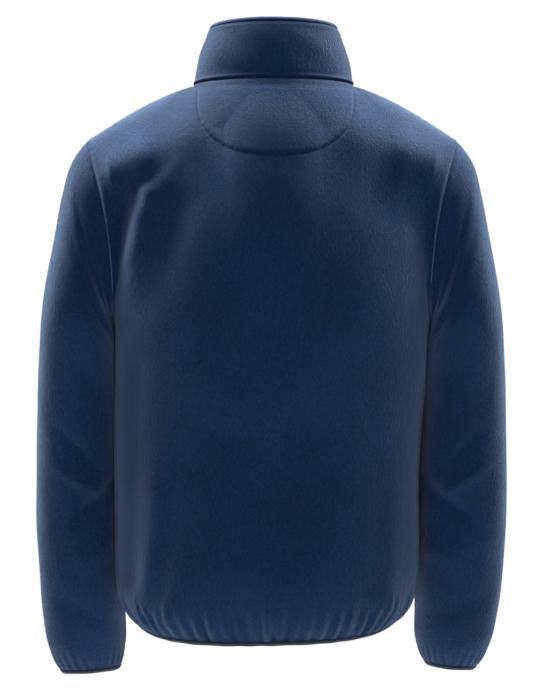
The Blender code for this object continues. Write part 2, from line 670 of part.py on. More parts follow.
def half_moon(name, material):
    """A piece inside the back neck: from just under the neck seam down to a U."""
    surface = body(1)
    across, rows = MOON_STEPS
    share = np.linspace(-1, 1, across + 1) * MOON_WIDE
    s = share * NECK_SHARE
    high = 1 - MOON_TOP + 0 * s
    low = high - MOON_TOP / 2 - MOON_DROP * np.sqrt(np.maximum(1 - np.abs(share) ** 2.6, 0.004))
    outer, inner = [], []
    for t in np.linspace(0, 1, rows + 1):
        v = low + (high - low) * t
        p, out = surface(s, v), facing_out(surface, s, v)
        outer.append(p - out * MOON_IN)
        inner.append(p - out * (MOON_IN + MOON_CLOTH))
    return wall(name, outer, inner, material)


def collar_turns():
    return np.linspace(-math.pi, math.pi, 2 * COLLAR_STEPS + 1)


def collar_layers(material):
    turns = collar_turns()
    out = collar_out(turns)
    outer, inner = [], []
    for h in np.linspace(0, 1, COLLAR_ROWS + 1):
        p = collar(turns, h + 0 * turns)
        away = neck_normal(turns) if h == 0 else out
        outer.append(p)
        inner.append(p - away * CLOTH)
    sides = [draw_in(rows, GAP / 2, last=False) for rows in (outer, inner)]
    wall("collar", *sides, material)
    sections = [facing_section(turn, o) for turn, o in zip(turns, out)]
    sweep("collar_facing", sections, material)


def facing_section(turn, out):
    """The inner layer up the collar's inside, with its roll over the top edge."""
    foot, middle, top = (collar(turn, np.array(h)) for h in (FACING_FOOT, 0.5, 1.0))
    up = unit(top - middle)
    inside = FACING_IN + FACING
    points = [p - out * inside for p in (foot, middle, top)]
    points.append(top - out * (inside - RIM["cloth"]) + up * RIM["high"])
    points.append(top - out * RIM["flat"] + up * RIM["high"])
    points.append(top + up * (RIM["high"] - RIM["round"]))
    points.append(top + up * GAP)
    points.append(top - out * FACING_IN + up * GAP)
    points += [p - out * FACING_IN for p in (middle, foot)]
    return np.array(points)


def binding_section(p, out, down):
    """Across a binding, from the cloth's outer side round its lower edge to the inner one."""
    extra, tall = (BINDING["thick"] - CLOTH) / 2, BINDING["tall"]
    shape = (
        (extra * 0.4, GAP / 2),
        (extra, tall * 0.3),
        (extra * 0.6, tall * 0.9),
        (-CLOTH / 2, tall),
        (-CLOTH - extra * 0.6, tall * 0.9),
        (-CLOTH - extra, tall * 0.3),
        (-CLOTH - extra * 0.4, GAP / 2),
    )
    return np.array([p + out * a + down * b for a, b in shape])


def hem_places():
    """(s, face) along the hem, from one front edge round the back to the other."""
    half = np.linspace(0, 1, HALF_COLUMNS + 1)
    half[0] = AT_ZIP
    rear = np.linspace(1, -1, 2 * HALF_COLUMNS + 1)
    left = [(s, -1) for s in half[:-1]]
    right = [(-s, -1) for s in half[::-1]]
    return left + [(s, 1) for s in rear[:-1]] + right


def hem_band(material):
    sections = []
    for value, face in hem_places():
        surface = body(face)
        s, v = np.array(value), np.array(-1.0)
        p = surface(s, v)
        out = facing_out(surface, s, v) * face
        if abs(value) == 1:
            out = unit(out * (1, 0, 1))
        down = unit(p - surface(s, v + 5 * STEP))
        sections.append(binding_section(p, out, down))
    sweep("hem_binding", sections, material)


def cuff_band(name, side, material):
    surface = sleeve(side)
    turns = sleeve_turns()
    v = CUFF_EDGE / column(SLEEVE, "along")[-1]
    p = surface(turns, v + 0 * turns)
    out, down = sleeve_normals(surface, turns, v, side)
    sections = [binding_section(*place) for place in zip(p, out, down)]
    sweep(name, sections, material, closed=True)


# ---- the zip ----


def zip_line():
    """Points up the centre front on the outer side of the cloth, outward there, and how
    steeply the cloth falls back to either side."""
    surface = body(-1)
    next_turn = collar_turns()[-2]
    edges = []
    for _, v in panel_rows(0.0, 1.0):
        s = np.array([AT_ZIP, 1 / HALF_COLUMNS])
        edges.append((surface(s, v[:2]), surface(-s, v[:2])))
    for h in np.linspace(0, 1, COLLAR_ROWS + 1)[1:]:
        turn, h = np.array([math.pi, next_turn]), np.array([h, h])
        edges.append((collar(turn, h), collar(-turn, h)))
    left, right = np.array([a for a, _ in edges]), np.array([b for _, b in edges])
    places, beside = ((left + right) / 2).transpose(1, 0, 2)
    spread = (left[:, 1, 0] - right[:, 1, 0]) / 2 - ZIP_EDGE
    out = unit(np.cross(np.gradient(places, axis=0), np.array([1.0, 0.0, 0.0])))
    out *= -np.sign(out[0, 1])
    fall = np.maximum(np.sum((places - beside) * out, axis=-1), 0) / spread
    return places, out, fall * (TAPE["outer"] - ZIP_EDGE)


def zip_tape(name, side, places, out, fall, material):
    """A flat tape behind the front's edge, bent to lie along the cloth."""
    across = np.array([side, 0.0, 0.0])
    sections = []
    for p, n, drop in zip(places, out, fall):
        face = [
            (TAPE["inner"], TAPE["in"]),
            (ZIP_EDGE - 1, TAPE["in"]),
            (TAPE["outer"], TAPE["in"] + drop),
        ]
        rear = [(x, deep + TAPE["thick"]) for x, deep in face[::-1]]
        sections.append(np.array([p + across * x - n * deep for x, deep in face + rear]))
    sweep(name, sections, material)


def zip_strip(name, places, out, size, material):
    """A flat bar along the zip."""
    across = np.array([size["half"], 0.0, 0.0])
    near, far = size["in"], size["in"] + size["thick"]
    shape = ((-1, near), (1, near), (1, far), (-1, far))
    sections = [np.array([p + across * x - n * y for x, y in shape]) for p, n in zip(places, out)]
    return sweep(name, sections, material)


def box(name, low, high, material=None):
    """A box primitive between two corners."""
    low, high = np.array(low, float), np.array(high, float)
    bm = bmesh.new()
    bmesh.ops.create_cube(bm, size=1.0)
    bmesh.ops.scale(bm, vec=Vector((high - low) * MM), verts=bm.verts)
    bmesh.ops.translate(bm, vec=Vector((high + low) / 2 * MM), verts=bm.verts)
    mesh = bpy.data.meshes.new(name)
    bm.to_mesh(mesh)
    bm.free()
    obj = bpy.data.objects.new(name, mesh)
    if material:
        mesh.materials.append(material)
        bpy.data.collections[COLLECTION].objects.link(obj)
    else:
        obj.hide_render = True
        obj.display_type = "WIRE"
        bpy.data.collections["cutters"].objects.link(obj)
    return obj


def combine(obj, other, operation):
    mod = obj.modifiers.new(other.name, "BOOLEAN")
    mod.object = other
    mod.operation = operation


def beside_zip(name, size, side, low, high, outer, material=None):
    """A box on one side of the zip: side is 1 for the wearer's left and -1 for the right."""
    x = sorted((side * size["inner"], side * outer))
    return box(name, (x[0], size["front"], low), (x[1], size["back"], high), material)


def turned_to(place, up):
    """A frame at a place on the zip with its z along the zip."""
    lean = math.atan2(-up[1], up[2])
    return Matrix.Translation(Vector(place * MM)) @ Matrix.Rotation(lean, 4, "X")


def zip_parts(tape, metal, teeth):
    places, out, fall = zip_line()
    first, last = unit(places[1] - places[0]), unit(places[-1] - places[-2])
    taped = places.copy()
    taped[0] += first * TAPE["foot"]
    taped[-1] -= last * TAPE["top"]
    zip_tape("zip_tape_left", 1, taped, out, fall, tape)
    zip_tape("zip_tape_right", -1, taped, out, fall, tape)
    foot = places[-1] - last * SLIDER_BELOW_TOP
    end = foot + last * CHAIN["to_slider"]
    kept = (places - end) @ last < -2 * BEYOND
    kept[0] = False
    chained = np.concatenate([places[kept], [end]])
    zip_strip("zip_chain", chained, np.concatenate([out[kept], out[-1:]]), CHAIN, teeth)
    at_slider = turned_to(foot, last)
    zip_slider(at_slider, metal)
    bar = (0, (SLIDER["front"] - BAR_AHEAD) * MM, SLIDER["long"] / 2 * MM)
    pull_tab(at_slider @ Vector(bar), metal)
    zip_stops(at_slider, metal)
    zip_box(turned_to(places[0], first), metal)


def zip_slider(placed, metal):
    """Two plates joined by a bridge at the top, with an arch in front that holds the tab."""
    size, channel, slit, lug = SLIDER, SLIDER_CHANNEL, SLIDER_SLIT, LUG
    half, long, front = size["half"], size["long"], size["front"]
    middle, wide = long / 2, half + BEYOND
    slider = box("zip_slider", (-half, front, 0), (half, size["back"], long), metal)
    cuts = [
        box(
            "cut_slider_channel",
            (-channel["half"], channel["front"], -BEYOND),
            (channel["half"], channel["back"], channel["long"]),
        ),
        beside_zip("cut_slit_left", slit, 1, -BEYOND, long + BEYOND, wide),
        beside_zip("cut_slit_right", slit, -1, -BEYOND, long + BEYOND, wide),
    ]
    arch = box(
        "slider_arch",
        (-lug["half"], front - lug["high"], middle - lug["long"] / 2),
        (lug["half"], front + channel["front"] / 2, middle + lug["long"] / 2),
    )
    window = box(
        "cut_arch_window",
        (-wide, front - lug["hole_high"], middle - lug["hole_long"] / 2),
        (wide, front, middle + lug["hole_long"] / 2),
    )
    for cut in cuts:
        combine(slider, cut, "DIFFERENCE")
    combine(slider, arch, "UNION")
    combine(slider, window, "DIFFERENCE")
    for part in (slider, *cuts, arch, window):
        part.matrix_world = placed


def pull_tab(bar, metal):
    """Hangs straight down from its bar, which is the joint's axis."""
    half, thick, long, top = TAB["half"], TAB["thick"] / 2, TAB["long"], TAB["bar"]
    arm, eye, deep = TAB["arm"], TAB_EYE["half"], TAB["thick"] / 2 + BEYOND
    tab = box("zip_pull_tab", (-half, -thick, -long), (half, thick, top), metal)
    window = box("cut_tab_window", (-arm, -deep, -TAB["window"]), (arm, deep, -top))
    hole = box(
        "cut_tab_eye", (-eye, -deep, TAB_EYE["low"] - long), (eye, deep, TAB_EYE["high"] - long)
    )
    combine(tab, window, "DIFFERENCE")
    combine(tab, hole, "DIFFERENCE")
    for part in (tab, window, hole):
        part.location = bar


def zip_stops(placed, metal):
    for name, side in (("zip_stop_left", 1), ("zip_stop_right", -1)):
        stop = beside_zip(name, STOP, side, STOP["low"], STOP["high"], STOP["outer"], metal)
        stop.matrix_world = placed


def zip_box(placed, metal):
    """Holds the foot of the chain, with a slot on each side for the tape."""
    half, channel = BOX["half"], BOX_CHANNEL
    high = BOX["high"] + BEYOND
    block = box("zip_box", (-half, BOX["front"], BOX["low"]), (half, BOX["back"], BOX["high"]), metal)
    cuts = [
        beside_zip("cut_slot_left", BOX_SLOT, 1, BOX_SLOT["low"], high, half + BEYOND),
        beside_zip("cut_slot_right", BOX_SLOT, -1, BOX_SLOT["low"], high, half + BEYOND),
        box(
            "cut_box_channel",
            (-channel["half"], channel["front"], channel["low"]),
            (channel["half"], channel["back"], high),
        ),
    ]
    for cut in cuts:
        combine(block, cut, "DIFFERENCE")
    for part in (block, *cuts):
        part.matrix_world = placed


# ---- the scene ----


def make_material(name, colour, roughness, metallic=0.0):
    mat = bpy.data.materials.new(name)
    mat.use_nodes = True
    bsdf = mat.node_tree.nodes["Principled BSDF"]
    bsdf.inputs["Base Color"].default_value = (*colour, 1.0)
    bsdf.inputs["Roughness"].default_value = roughness
    bsdf.inputs["Metallic"].default_value = metallic
    return mat


def clear_scene():
    for obj in list(bpy.data.objects):
        bpy.data.objects.remove(obj, do_unlink=True)
    for name in (COLLECTION, "cutters"):
        collection = bpy.data.collections.new(name)
        bpy.context.scene.collection.children.link(collection)


def build():
    clear_scene()
    fleece = make_material("navy_fleece", (0.018, 0.032, 0.075), 0.95)
    elastic = make_material("charcoal_elastic", (0.009, 0.012, 0.018), 0.8)
    tape = make_material("navy_zip_tape", (0.012, 0.018, 0.04), 0.85)
    teeth = make_material("navy_zip_teeth", (0.015, 0.02, 0.04), 0.45)
    metal = make_material("dark_zip_metal", (0.05, 0.05, 0.055), 0.4, 0.9)
    body_panel("back_panel", 1, -1.0, 1.0, fleece)
    body_panel("front_left", -1, AT_ZIP, 1.0, fleece)
    body_panel("front_right", -1, -1.0, -AT_ZIP, fleece)
    half_moon("half_moon_patch", fleece)
    sleeve_panel("sleeve_left", 1, fleece)
    sleeve_panel("sleeve_right", -1, fleece)
    collar_layers(fleece)
    hem_band(elastic)
    cuff_band("cuff_binding_left", 1, elastic)
    cuff_band("cuff_binding_right", -1, elastic)
    zip_parts(tape, metal, teeth)


build()
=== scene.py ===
# Fleece zip jacket, worn form with nobody in it: cloth, sewing, zip, light and camera.
# Shapes are worked out in millimetres, in the frame's axes: the front faces -Y and +X is
# the wearer's left. Each mesh is turned into metres as it is made.
import math

import bmesh
import bpy
import numpy as np
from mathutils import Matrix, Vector


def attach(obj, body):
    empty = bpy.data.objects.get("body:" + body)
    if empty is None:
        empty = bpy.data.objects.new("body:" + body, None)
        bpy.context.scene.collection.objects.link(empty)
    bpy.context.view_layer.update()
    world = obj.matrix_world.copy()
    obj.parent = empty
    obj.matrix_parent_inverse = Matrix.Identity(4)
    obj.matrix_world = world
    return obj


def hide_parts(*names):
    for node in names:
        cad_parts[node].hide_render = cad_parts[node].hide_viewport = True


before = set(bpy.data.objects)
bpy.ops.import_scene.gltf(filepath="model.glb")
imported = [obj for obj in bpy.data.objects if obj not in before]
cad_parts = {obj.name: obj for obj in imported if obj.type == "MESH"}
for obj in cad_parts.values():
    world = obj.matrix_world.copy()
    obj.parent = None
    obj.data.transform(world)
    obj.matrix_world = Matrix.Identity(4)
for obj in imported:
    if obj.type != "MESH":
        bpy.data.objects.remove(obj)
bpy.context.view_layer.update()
jacketBody = "jacket"
pullBody = "zip_pull"
mm = 0.001
print("frame loaded")


# Cubic from start to end that leaves and arrives along two given vectors:
# (2t^3 - 3t^2 + 1) start + (t^3 - 2t^2 + t) leave + (3t^2 - 2t^3) end + (t^3 - t^2) arrive.
def cubic(start, leave, end, arrive, t):
    return (
        (2 * t**3 - 3 * t**2 + 1) * start
        + (t**3 - 2 * t**2 + t) * leave
        + (3 * t**2 - 2 * t**3) * end
        + (t**3 - t**2) * arrive
    )


# Smooth curve through one column of a table, read at places along its first column: a cubic
# between each two knots, with the central differences as slopes.
def readCurve(table, name, at):
    knots = np.array(table[next(iter(table))], float)
    values = np.array(table[name], float)
    slope = np.gradient(values, knots)
    i = np.clip(np.searchsorted(knots, at, side="right") - 1, 0, len(knots) - 2)
    width = knots[i + 1] - knots[i]
    t = (np.clip(at, knots[0], knots[-1]) - knots[i]) / width
    return cubic(values[i], slope[i] * width, values[i + 1], slope[i + 1] * width, t)


# Every vector divided by its own length.
def unit(v):
    return v / np.maximum(np.linalg.norm(v, axis=-1, keepdims=True), 1e-12)


# Bell curve: exp(-(distance / wide)^2).
def bell(distance, wide):
    return np.exp(-((distance / wide) ** 2))


# 0 below low, 1 above high, and 3t^2 - 2t^3 between.
def easeStep(x, low, high):
    t = np.clip((x - low) / (high - low), 0, 1)
    return t * t * (3 - 2 * t)


# Straight rise from 0, at nothing and below, to 1 at a distance and beyond.
def fadeIn(x, distance):
    return np.clip(x / distance, 0, 1)


# Distance walked along one axis of an array of points, from its first point.
def walked(p, axis=0):
    steps = np.linalg.norm(np.diff(p, axis=axis), axis=-1)
    return np.insert(np.cumsum(steps, axis), 0, 0, axis)


# Points or directions of a line read at distances along it, straight between its knots.
def readLine(at, arc, values):
    return np.stack([np.interp(at, arc, values[:, c]) for c in range(values.shape[1])], -1)


# count + 1 places from the first knot to the last, closer together where the density is
# higher: the running sum of the density, read backwards.
def stations(count, knots, density):
    fine = np.linspace(knots[0], knots[-1], 4001)
    total = np.concatenate([[0], np.cumsum(np.interp(fine, knots, density)[1:])])
    return np.interp(np.linspace(0, total[-1], count + 1), total, fine)


# Normals of a grid of points: the cross product of its steps down and across, which faces
# the way that the sign says.
def gridNormals(p, closed=False, sign=1):
    if closed:
        across = np.roll(p, -1, 1) - np.roll(p, 1, 1)
    else:
        across = np.gradient(p, axis=1)
    return unit(np.cross(np.gradient(p, axis=0), across)) * sign


# Slow uneven waves, the sum of a few sines that run in different directions.
def unevenWaves(a, b, wave, seed):
    total = 0 * a
    for k in range(5):
        turn = seed * 1.7 + k * 2.4
        size = wave * (0.7 + 0.22 * k)
        total = total + np.sin(
            2 * math.pi * (a * math.cos(turn) + b * math.sin(turn)) / size + seed + 3 * k
        )
    return total / 5


# Ridges and troughs along lines in a plane. Each falls off with the distance from its line as
# a bell curve, and its height runs from first to last by the square of the place along it.
# Ridges that meet are joined by the fourth root of their summed fourth powers, and so are
# troughs.
def foldHeight(table, a, b):
    ridge, trough = 0 * a, 0 * a
    for a0, b0, a1, b1, wide, first, last in table:
        run = (a1 - a0) ** 2 + (b1 - b0) ** 2
        t = np.clip(((a - a0) * (a1 - a0) + (b - b0) * (b1 - b0)) / run, 0, 1)
        away = np.hypot(a - a0 - t * (a1 - a0), b - b0 - t * (b1 - b0))
        fold = (first + (last - first) * t**2) * bell(away, wide)
        ridge = ridge + np.maximum(fold, 0) ** 4
        trough = trough + np.maximum(-fold, 0) ** 4
    return ridge**0.25 - trough**0.25


bodyRings = {
    "below": [240, 300, 367, 424, 480, 564, 612, 643, 663, 677, 684],
    "half": [199, 197, 193, 190, 188, 188, 187, 182, 173, 163, 157],
    "shift": [0, 0.5, 3, 5.5, 7, 6.5, 6.5, 6.5, 6, 6, 6],
    "back": [126, 123, 116, 110, 108, 112, 115, 111, 105, 98, 95],
    "front": [142, 147, 149, 150, 152, 154, 153, 148, 141, 133, 130],
    "lift": [0, 0, 0, 0, 0, 1, 4, 7, 10, 14, 16],
}
backTop = {
    "share": [0, 0.2, 0.375, 0.55, 1],
    "lean": [-170, -200, -250, -250, -190],
    "climb": [235, 200, 90, 10, -40],
}
frontTop = {
    "share": [0, 0.2, 0.375, 0.55, 1],
    "lean": [110, 150, 220, 220, 170],
    "climb": [225, 200, 110, 60, 50],
}
sleeveRings = {
    "along": [0, 35, 75, 130, 190, 250, 340, 430, 520, 600, 645, 672, 684],
    "outerX": [233, 252.5, 263.5, 273.5, 283.5, 291, 297, 300, 298.5, 292.5, 285.5, 274.5, 267.5],
    "outerZ": [-64, -92, -130, -184, -243, -304, -395, -486, -577, -658, -703, -728, -738],
    "innerX": [197, 194, 191, 190, 190, 189, 188, 187, 187, 188, 188, 192, 195.5],
    "innerZ": [-300, -302, -307, -316, -328, -350, -409, -488, -577, -656, -698, -722, -732],
    "near": [0, 0, 0, 0, 0, 1, 3, 5, 6, 5, 4, 0, -3],
    "far": [0, 0, 0, 0, 1, 1, 1, 1, 2, 4, 7, 9, 10],
    "y": [-15, -17, -20, -24, -29, -36, -43, -49, -55, -60, -63, -65, -66],
    "deep": [52, 60, 66, 71, 73, 71, 66, 61, 57, 53, 47, 37, 32],
}
form = {
    "cloth": 2.0, "gap": 0.3, "zipEdge": 6.5, "square": 0.045, "armpit": 300.0, "hem": 677.0,
    "sideY": -12.0, "neckShare": 0.375, "shoulderNeck": (99.5, -8.0, 6.0),
    "shoulderTip": (233.0, -15.0, -64.0), "shoulderRise": 6.0, "drawBack": 0.18,
    "drawFront": 0.17, "climbSide": 260.0, "climbMiddle": 30.0, "holeBack": 56.0,
    "holeFront": 48.0, "hollowBack": 12.0, "hollowFront": 16.0, "hemTilt": 0.2,
    "cornerSoft": 0.16, "cornerFade": 0.25, "neckOut": (0.9, 0.5), "holeOut": 0.3,
}
neck = {"x": -2.0, "y": -8.0}
collarSeam = {"half": 99.5, "back": 70.0, "front": 80.0, "drop": 58.0, "z": 6.0, "rise": 3.0}
collarTop = {"half": 80.5, "back": 59.0, "front": 87.0, "drop": 56.0, "z": 76.0, "rise": 4.0}


# A ring's roundness is a circle's, fuller at 45 degrees: 1 + square * sin(2 angle)^2.
def swell(angle):
    return 1 + form["square"] * np.sin(2 * angle) ** 2


# Ring of the body at a depth below the neck. s is 0 at the centre back or centre front and
# 1 or -1 at the side seams, and face is 1 on the back and -1 on the front.
def bodyRing(below, s, face):
    angle = s * math.pi / 2
    half, shift = readCurve(bodyRings, "half", below), readCurve(bodyRings, "shift", below)
    deep = readCurve(bodyRings, "back" if face > 0 else "front", below) - form["sideY"] * face
    edge = form["zipEdge"] * (np.sign(angle) if face < 0 else 0)
    side = np.abs(np.sin(angle))
    x = shift + edge + (half * np.sin(angle) - edge * side) * swell(angle)
    y = form["sideY"] + face * deep * np.cos(angle) * swell(angle)
    z = -below + readCurve(bodyRings, "lift", below) * (side**4 - form["hemTilt"] * np.sin(angle))
    return np.stack([x, y, z], -1)


# Ring round the neck: turn is 0 at the centre back, pi/2 at the wearer's left, pi in front.
# The front drops by drop * forward^1.5, and stops zipEdge short of the middle.
def neckRing(turn, size, level=True):
    forward, backward = np.maximum(-np.cos(turn), 0), np.maximum(np.cos(turn), 0)
    edge = form["zipEdge"] * np.sign(turn) * (np.cos(turn) < 0) * forward**2
    x = edge + (size["half"] - np.abs(edge)) * np.sin(turn)
    x = np.where(np.abs(turn) > math.pi - 1e-6, form["zipEdge"] * np.sign(turn), x) + neck["x"]
    y = neck["y"] + size["back"] * backward - size["front"] * forward
    z = (size["z"] + size["rise"] * backward) * level - size["drop"] * forward**1.5
    return np.stack([x, y, z], -1)


# Top edge of a panel: the neck seam out to neckShare, then the shoulder seam, a straight
# line to the tip with a slight rise.
def topEdge(s, face):
    size, side = np.abs(s), np.where(s < 0, -1.0, 1.0)
    turn = math.pi / 2 * np.minimum(size / form["neckShare"], 1)
    turn = turn * side if face > 0 else (math.pi - turn) * side
    share = np.clip((size - form["neckShare"]) / (1 - form["neckShare"]), 0, 1)
    start, end = np.array(form["shoulderNeck"]), np.array(form["shoulderTip"])
    seam = start + (end - start) * share[..., None]
    seam[..., 2] += form["shoulderRise"] * np.sin(math.pi * share**0.8)
    seam[..., 0] = seam[..., 0] * side + neck["x"] * (1 - share)
    return np.where((size <= form["neckShare"])[..., None], neckRing(turn, collarSeam), seam)


# In the cloth below it, the corner between the neck seam and the shoulder seam is softened:
# the mean of the top edge at nearby places, which spread further the lower the cloth is.
def softTopEdge(s, v, face):
    spread = form["cornerSoft"] * fadeIn(1 - v, form["cornerFade"])
    spread = np.minimum(spread, 0.9 * np.abs(s))
    places = [topEdge(np.clip(s + spread * k / 4, -1, 1), face) for k in range(-4, 5)]
    return sum(places) / len(places)


# Armhole: turn is 0 at the shoulder tip, pi/2 at the back, pi under the arm, negative in front.
def armholeCurve(turn, side):
    low = bodyRing(np.array(form["armpit"]), np.array(side), 1)
    high = np.array(form["shoulderTip"]) * (side, 1, 1)
    behind = np.sin(turn) > 0
    deep = np.where(behind, form["holeBack"], form["holeFront"])
    hollow = np.where(behind, form["hollowBack"], form["hollowFront"]) * np.sin(turn) ** 2
    p = (high + low) / 2 + (high - low) / 2 * np.cos(turn)[..., None]
    p[..., 1] += deep * np.sin(turn) * swell(turn)
    p[..., 0] -= side * hollow
    return p


# Column of a panel: a cubic from the armpit's ring, which it leaves upwards, to the top edge.
def panelColumn(s, v, face):
    top = backTop if face > 0 else frontTop
    size = np.abs(s)
    low = bodyRing(form["armpit"] + 1 + 0 * s, s, face)
    high = bodyRing(form["armpit"] - 1 + 0 * s, s, face)
    reach = form["climbSide"] + form["climbMiddle"] * (1 - size)
    arrive = np.stack([0 * s, readCurve(top, "lean", size), readCurve(top, "climb", size)], -1)
    leave = (high - low) / 2 * reach[..., None]
    return cubic((high + low) / 2, leave, softTopEdge(s, v, face), arrive, v[..., None])


# Above the armpit the columns draw together between the armholes, and the panel's sides are
# pulled to the armhole's curve by the fourth power of s.
def upperPanel(s, v, face):
    size, side = np.abs(s), np.where(s < 0, -1.0, 1.0)
    drawn = (form["drawBack"] if face > 0 else form["drawFront"]) * np.sin(math.pi * v)
    p = panelColumn(s * (1 - drawn * size**2), v, face)
    edge = panelColumn(side * (1 - drawn), v, face)
    turn = math.pi * (1 - v) * face
    hole = np.where((s < 0)[..., None], armholeCurve(turn, -1.0), armholeCurve(turn, 1.0))
    return p + (hole - edge) * (size**4)[..., None]


# Whole panel: v is -1 at the hem, 0 at the armpit's ring and 1 at the top edge.
def plainPanel(s, v, face):
    below = form["armpit"] + (form["hem"] - form["armpit"]) * np.clip(-v, 0, 1)
    upper = upperPanel(s, np.maximum(v, 0), face)
    return np.where((v > 0)[..., None], upper, bodyRing(below, s, face))


print("form ready")


# Object from rows of points in millimetres and a list of faces, smooth, with its own layer
# of pattern coordinates in metres where they are given.
def makeMesh(name, points, faces, material, pattern=None, sharp=60):
    mesh = bpy.data.meshes.new(name)
    mesh.from_pydata((np.asarray(points).reshape(-1, 3) * mm).tolist(), [], faces)
    if pattern is not None:
        layer = mesh.uv_layers.new(name="pattern")
        corner = np.zeros(len(mesh.loops), np.int32)
        mesh.loops.foreach_get("vertex_index", corner)
        place = np.asarray(pattern, np.float32).reshape(-1, 2)[corner]
        layer.data.foreach_set("uv", place.ravel())
    mesh.materials.append(material)
    mesh.shade_smooth()
    mesh.set_sharp_from_angle(angle=math.radians(sharp))
    mesh.update()
    obj = bpy.data.objects.new(name, mesh)
    bpy.context.scene.collection.objects.link(obj)
    return obj


# Quads between the rows of a grid whose points are numbered from start.
def gridFaces(rows, columns, start=0, closed=False, flip=False):
    i = np.arange(rows - 1)[:, None] * columns
    j = np.arange(columns if closed else columns - 1)
    k = (j + 1) % columns
    quads = np.stack([i + j, i + k, i + k + columns, i + j + columns], -1).reshape(-1, 4) + start
    return (quads[:, ::-1] if flip else quads).tolist()


# Closed wall of cloth: a fine outer grid, an inner grid with every second row and column,
# and rims of five-sided faces that join the two along the edges.
def clothWall(name, outer, inner, material, closed=False):
    rows, columns = outer.shape[:2]
    innerRows, innerColumns = inner.shape[:2]
    start = rows * columns
    middle = rows // 2, columns // 2
    face = outer[middle[0], middle[1] + 1] - outer[middle]
    rise = outer[middle[0] + 1, middle[1]] - outer[middle]
    flip = np.dot(np.cross(face, rise), outer[middle] - inner[middle[0] // 2, middle[1] // 2]) < 0
    faces = gridFaces(rows, columns, 0, closed, flip)
    faces += gridFaces(innerRows, innerColumns, start, closed, not flip)
    # Where an edge's points start in the outer and the inner grid, their steps there, how
    # many there are in the outer one, and whether the rim's faces run the other way.
    edges = [
        (0, 0, 1, 1, columns, True),
        ((rows - 1) * columns, (innerRows - 1) * innerColumns, 1, 1, columns, False),
    ]
    if not closed:
        edges += [
            (0, 0, columns, innerColumns, rows, False),
            (columns - 1, innerColumns - 1, columns, innerColumns, rows, True),
        ]
    for first, innerFirst, step, innerStep, length, turned in edges:
        a = np.arange(0, length if closed else length - 1, 2)
        half = (length + 1) // 2
        corners = [first + (a + k) % length * step for k in range(3)]
        corners += [start + innerFirst + (a // 2 + k) % half * innerStep for k in (1, 0)]
        rim = np.stack(corners, -1)
        faces += (rim[:, ::-1] if turned != flip else rim).tolist()
    points = np.concatenate([outer.reshape(-1, 3), inner.reshape(-1, 3)])
    return makeMesh(name, points, faces, material)


# Solid bar through like sections: sections is (count, corners, 3). Open bars get end caps.
def sweepBar(name, sections, material, closed=False, pattern=None, sharp=60):
    count, corners = sections.shape[:2]
    i = np.arange(count if closed else count - 1)[:, None]
    j = np.arange(corners)
    n, k = (i + 1) % count, (j + 1) % corners
    quads = np.stack([i * corners + j, i * corners + k, n * corners + k, n * corners + j], -1)
    quads = quads.reshape(-1, 4)
    centre = sections[0].mean(0)
    ahead = sections[1].mean(0) - centre
    around = np.cross(sections[0] - centre, np.roll(sections[0], -1, 0) - centre).sum(0)
    flip = np.dot(around, ahead) > 0
    faces = (quads[:, ::-1] if not flip else quads).tolist()
    if not closed:
        first, last = list(range(corners)), list(range((count - 1) * corners, count * corners))
        faces += [first[::-1] if flip else first, last if flip else last[::-1]]
    return makeMesh(name, sections, faces, material, pattern, sharp)


# Places along a stitch are in its lengths, and lifts there in half its thickness.
stitch = {
    "seam": {"pitch": 3.1, "long": 2.5, "thick": 0.55},
    "edge": {"pitch": 3.3, "long": 2.7, "thick": 0.5},
    "places": [-0.5, -0.3, 0, 0.3, 0.5], "lifts": [-0.9, 0.25, 0.55, 0.25, -0.9],
    "sides": 5, "uneven": 0.12, "unevenStep": 12.9, "bindingHigh": 1.9, "besideColumn": 8,
}


# Stitches along a line: bars of thread whose middle stands proud of the cloth and whose
# ends dip into it. path and out are dense points and outward directions.
def stitchRow(name, path, out, material, size):
    arc, sides, rings = walked(path), stitch["sides"], len(stitch["places"])
    count = int(arc[-1] / size["pitch"])
    middle = (np.arange(count) + 0.5) * arc[-1] / count
    middle = middle + stitch["uneven"] * np.sin(np.arange(count) * stitch["unevenStep"])
    at = middle[:, None] + np.array(stitch["places"]) * size["long"]
    p, n = readLine(at, arc, path), unit(readLine(at, arc, out))
    across = np.cross(unit(np.gradient(p, axis=1)), n)
    turn = (np.arange(sides) * 2 * math.pi / sides)[:, None]
    lift = np.array(stitch["lifts"])[:, None, None]
    ring = across[:, :, None] * np.cos(turn) + n[:, :, None] * np.sin(turn)
    points = p[:, :, None] + (n[:, :, None] * lift + ring) * size["thick"] / 2
    one = np.array(gridFaces(rings, sides, 0, True))
    corner = np.arange(rings * sides)
    ends = np.array([corner[:sides], corner[: -sides - 1 : -1]])
    base = (np.arange(count) * rings * sides)[:, None, None]
    faces = (one + base).reshape(-1, 4).tolist() + (ends + base).reshape(-1, sides).tolist()
    return makeMesh(name, points, faces, material, sharp=180)


# Sets a node's inputs, by name or by number after a low line. A socket is linked, and
# anything else becomes the input's own value.
def setInputs(node, **inputs):
    for key, value in inputs.items():
        socket = node.inputs[int(key[1:]) if key[0] == "_" else key.replace("_", " ")]
        if isinstance(value, bpy.types.NodeSocket):
            node.id_data.links.new(value, socket)
        else:
            socket.default_value = value


# New node in a tree, with its settings and its inputs.
def addNode(tree, kind, settings=None, **inputs):
    node = tree.nodes.new(kind)
    for key, value in (settings or {}).items():
        setattr(node, key, value)
    setInputs(node, **inputs)
    return node


# Result of an arithmetic node.
def maths(tree, operation, *values):
    inputs = {"_" + str(i): value for i, value in enumerate(values)}
    return addNode(tree, "ShaderNodeMath", {"operation": operation}, **inputs).outputs[0]


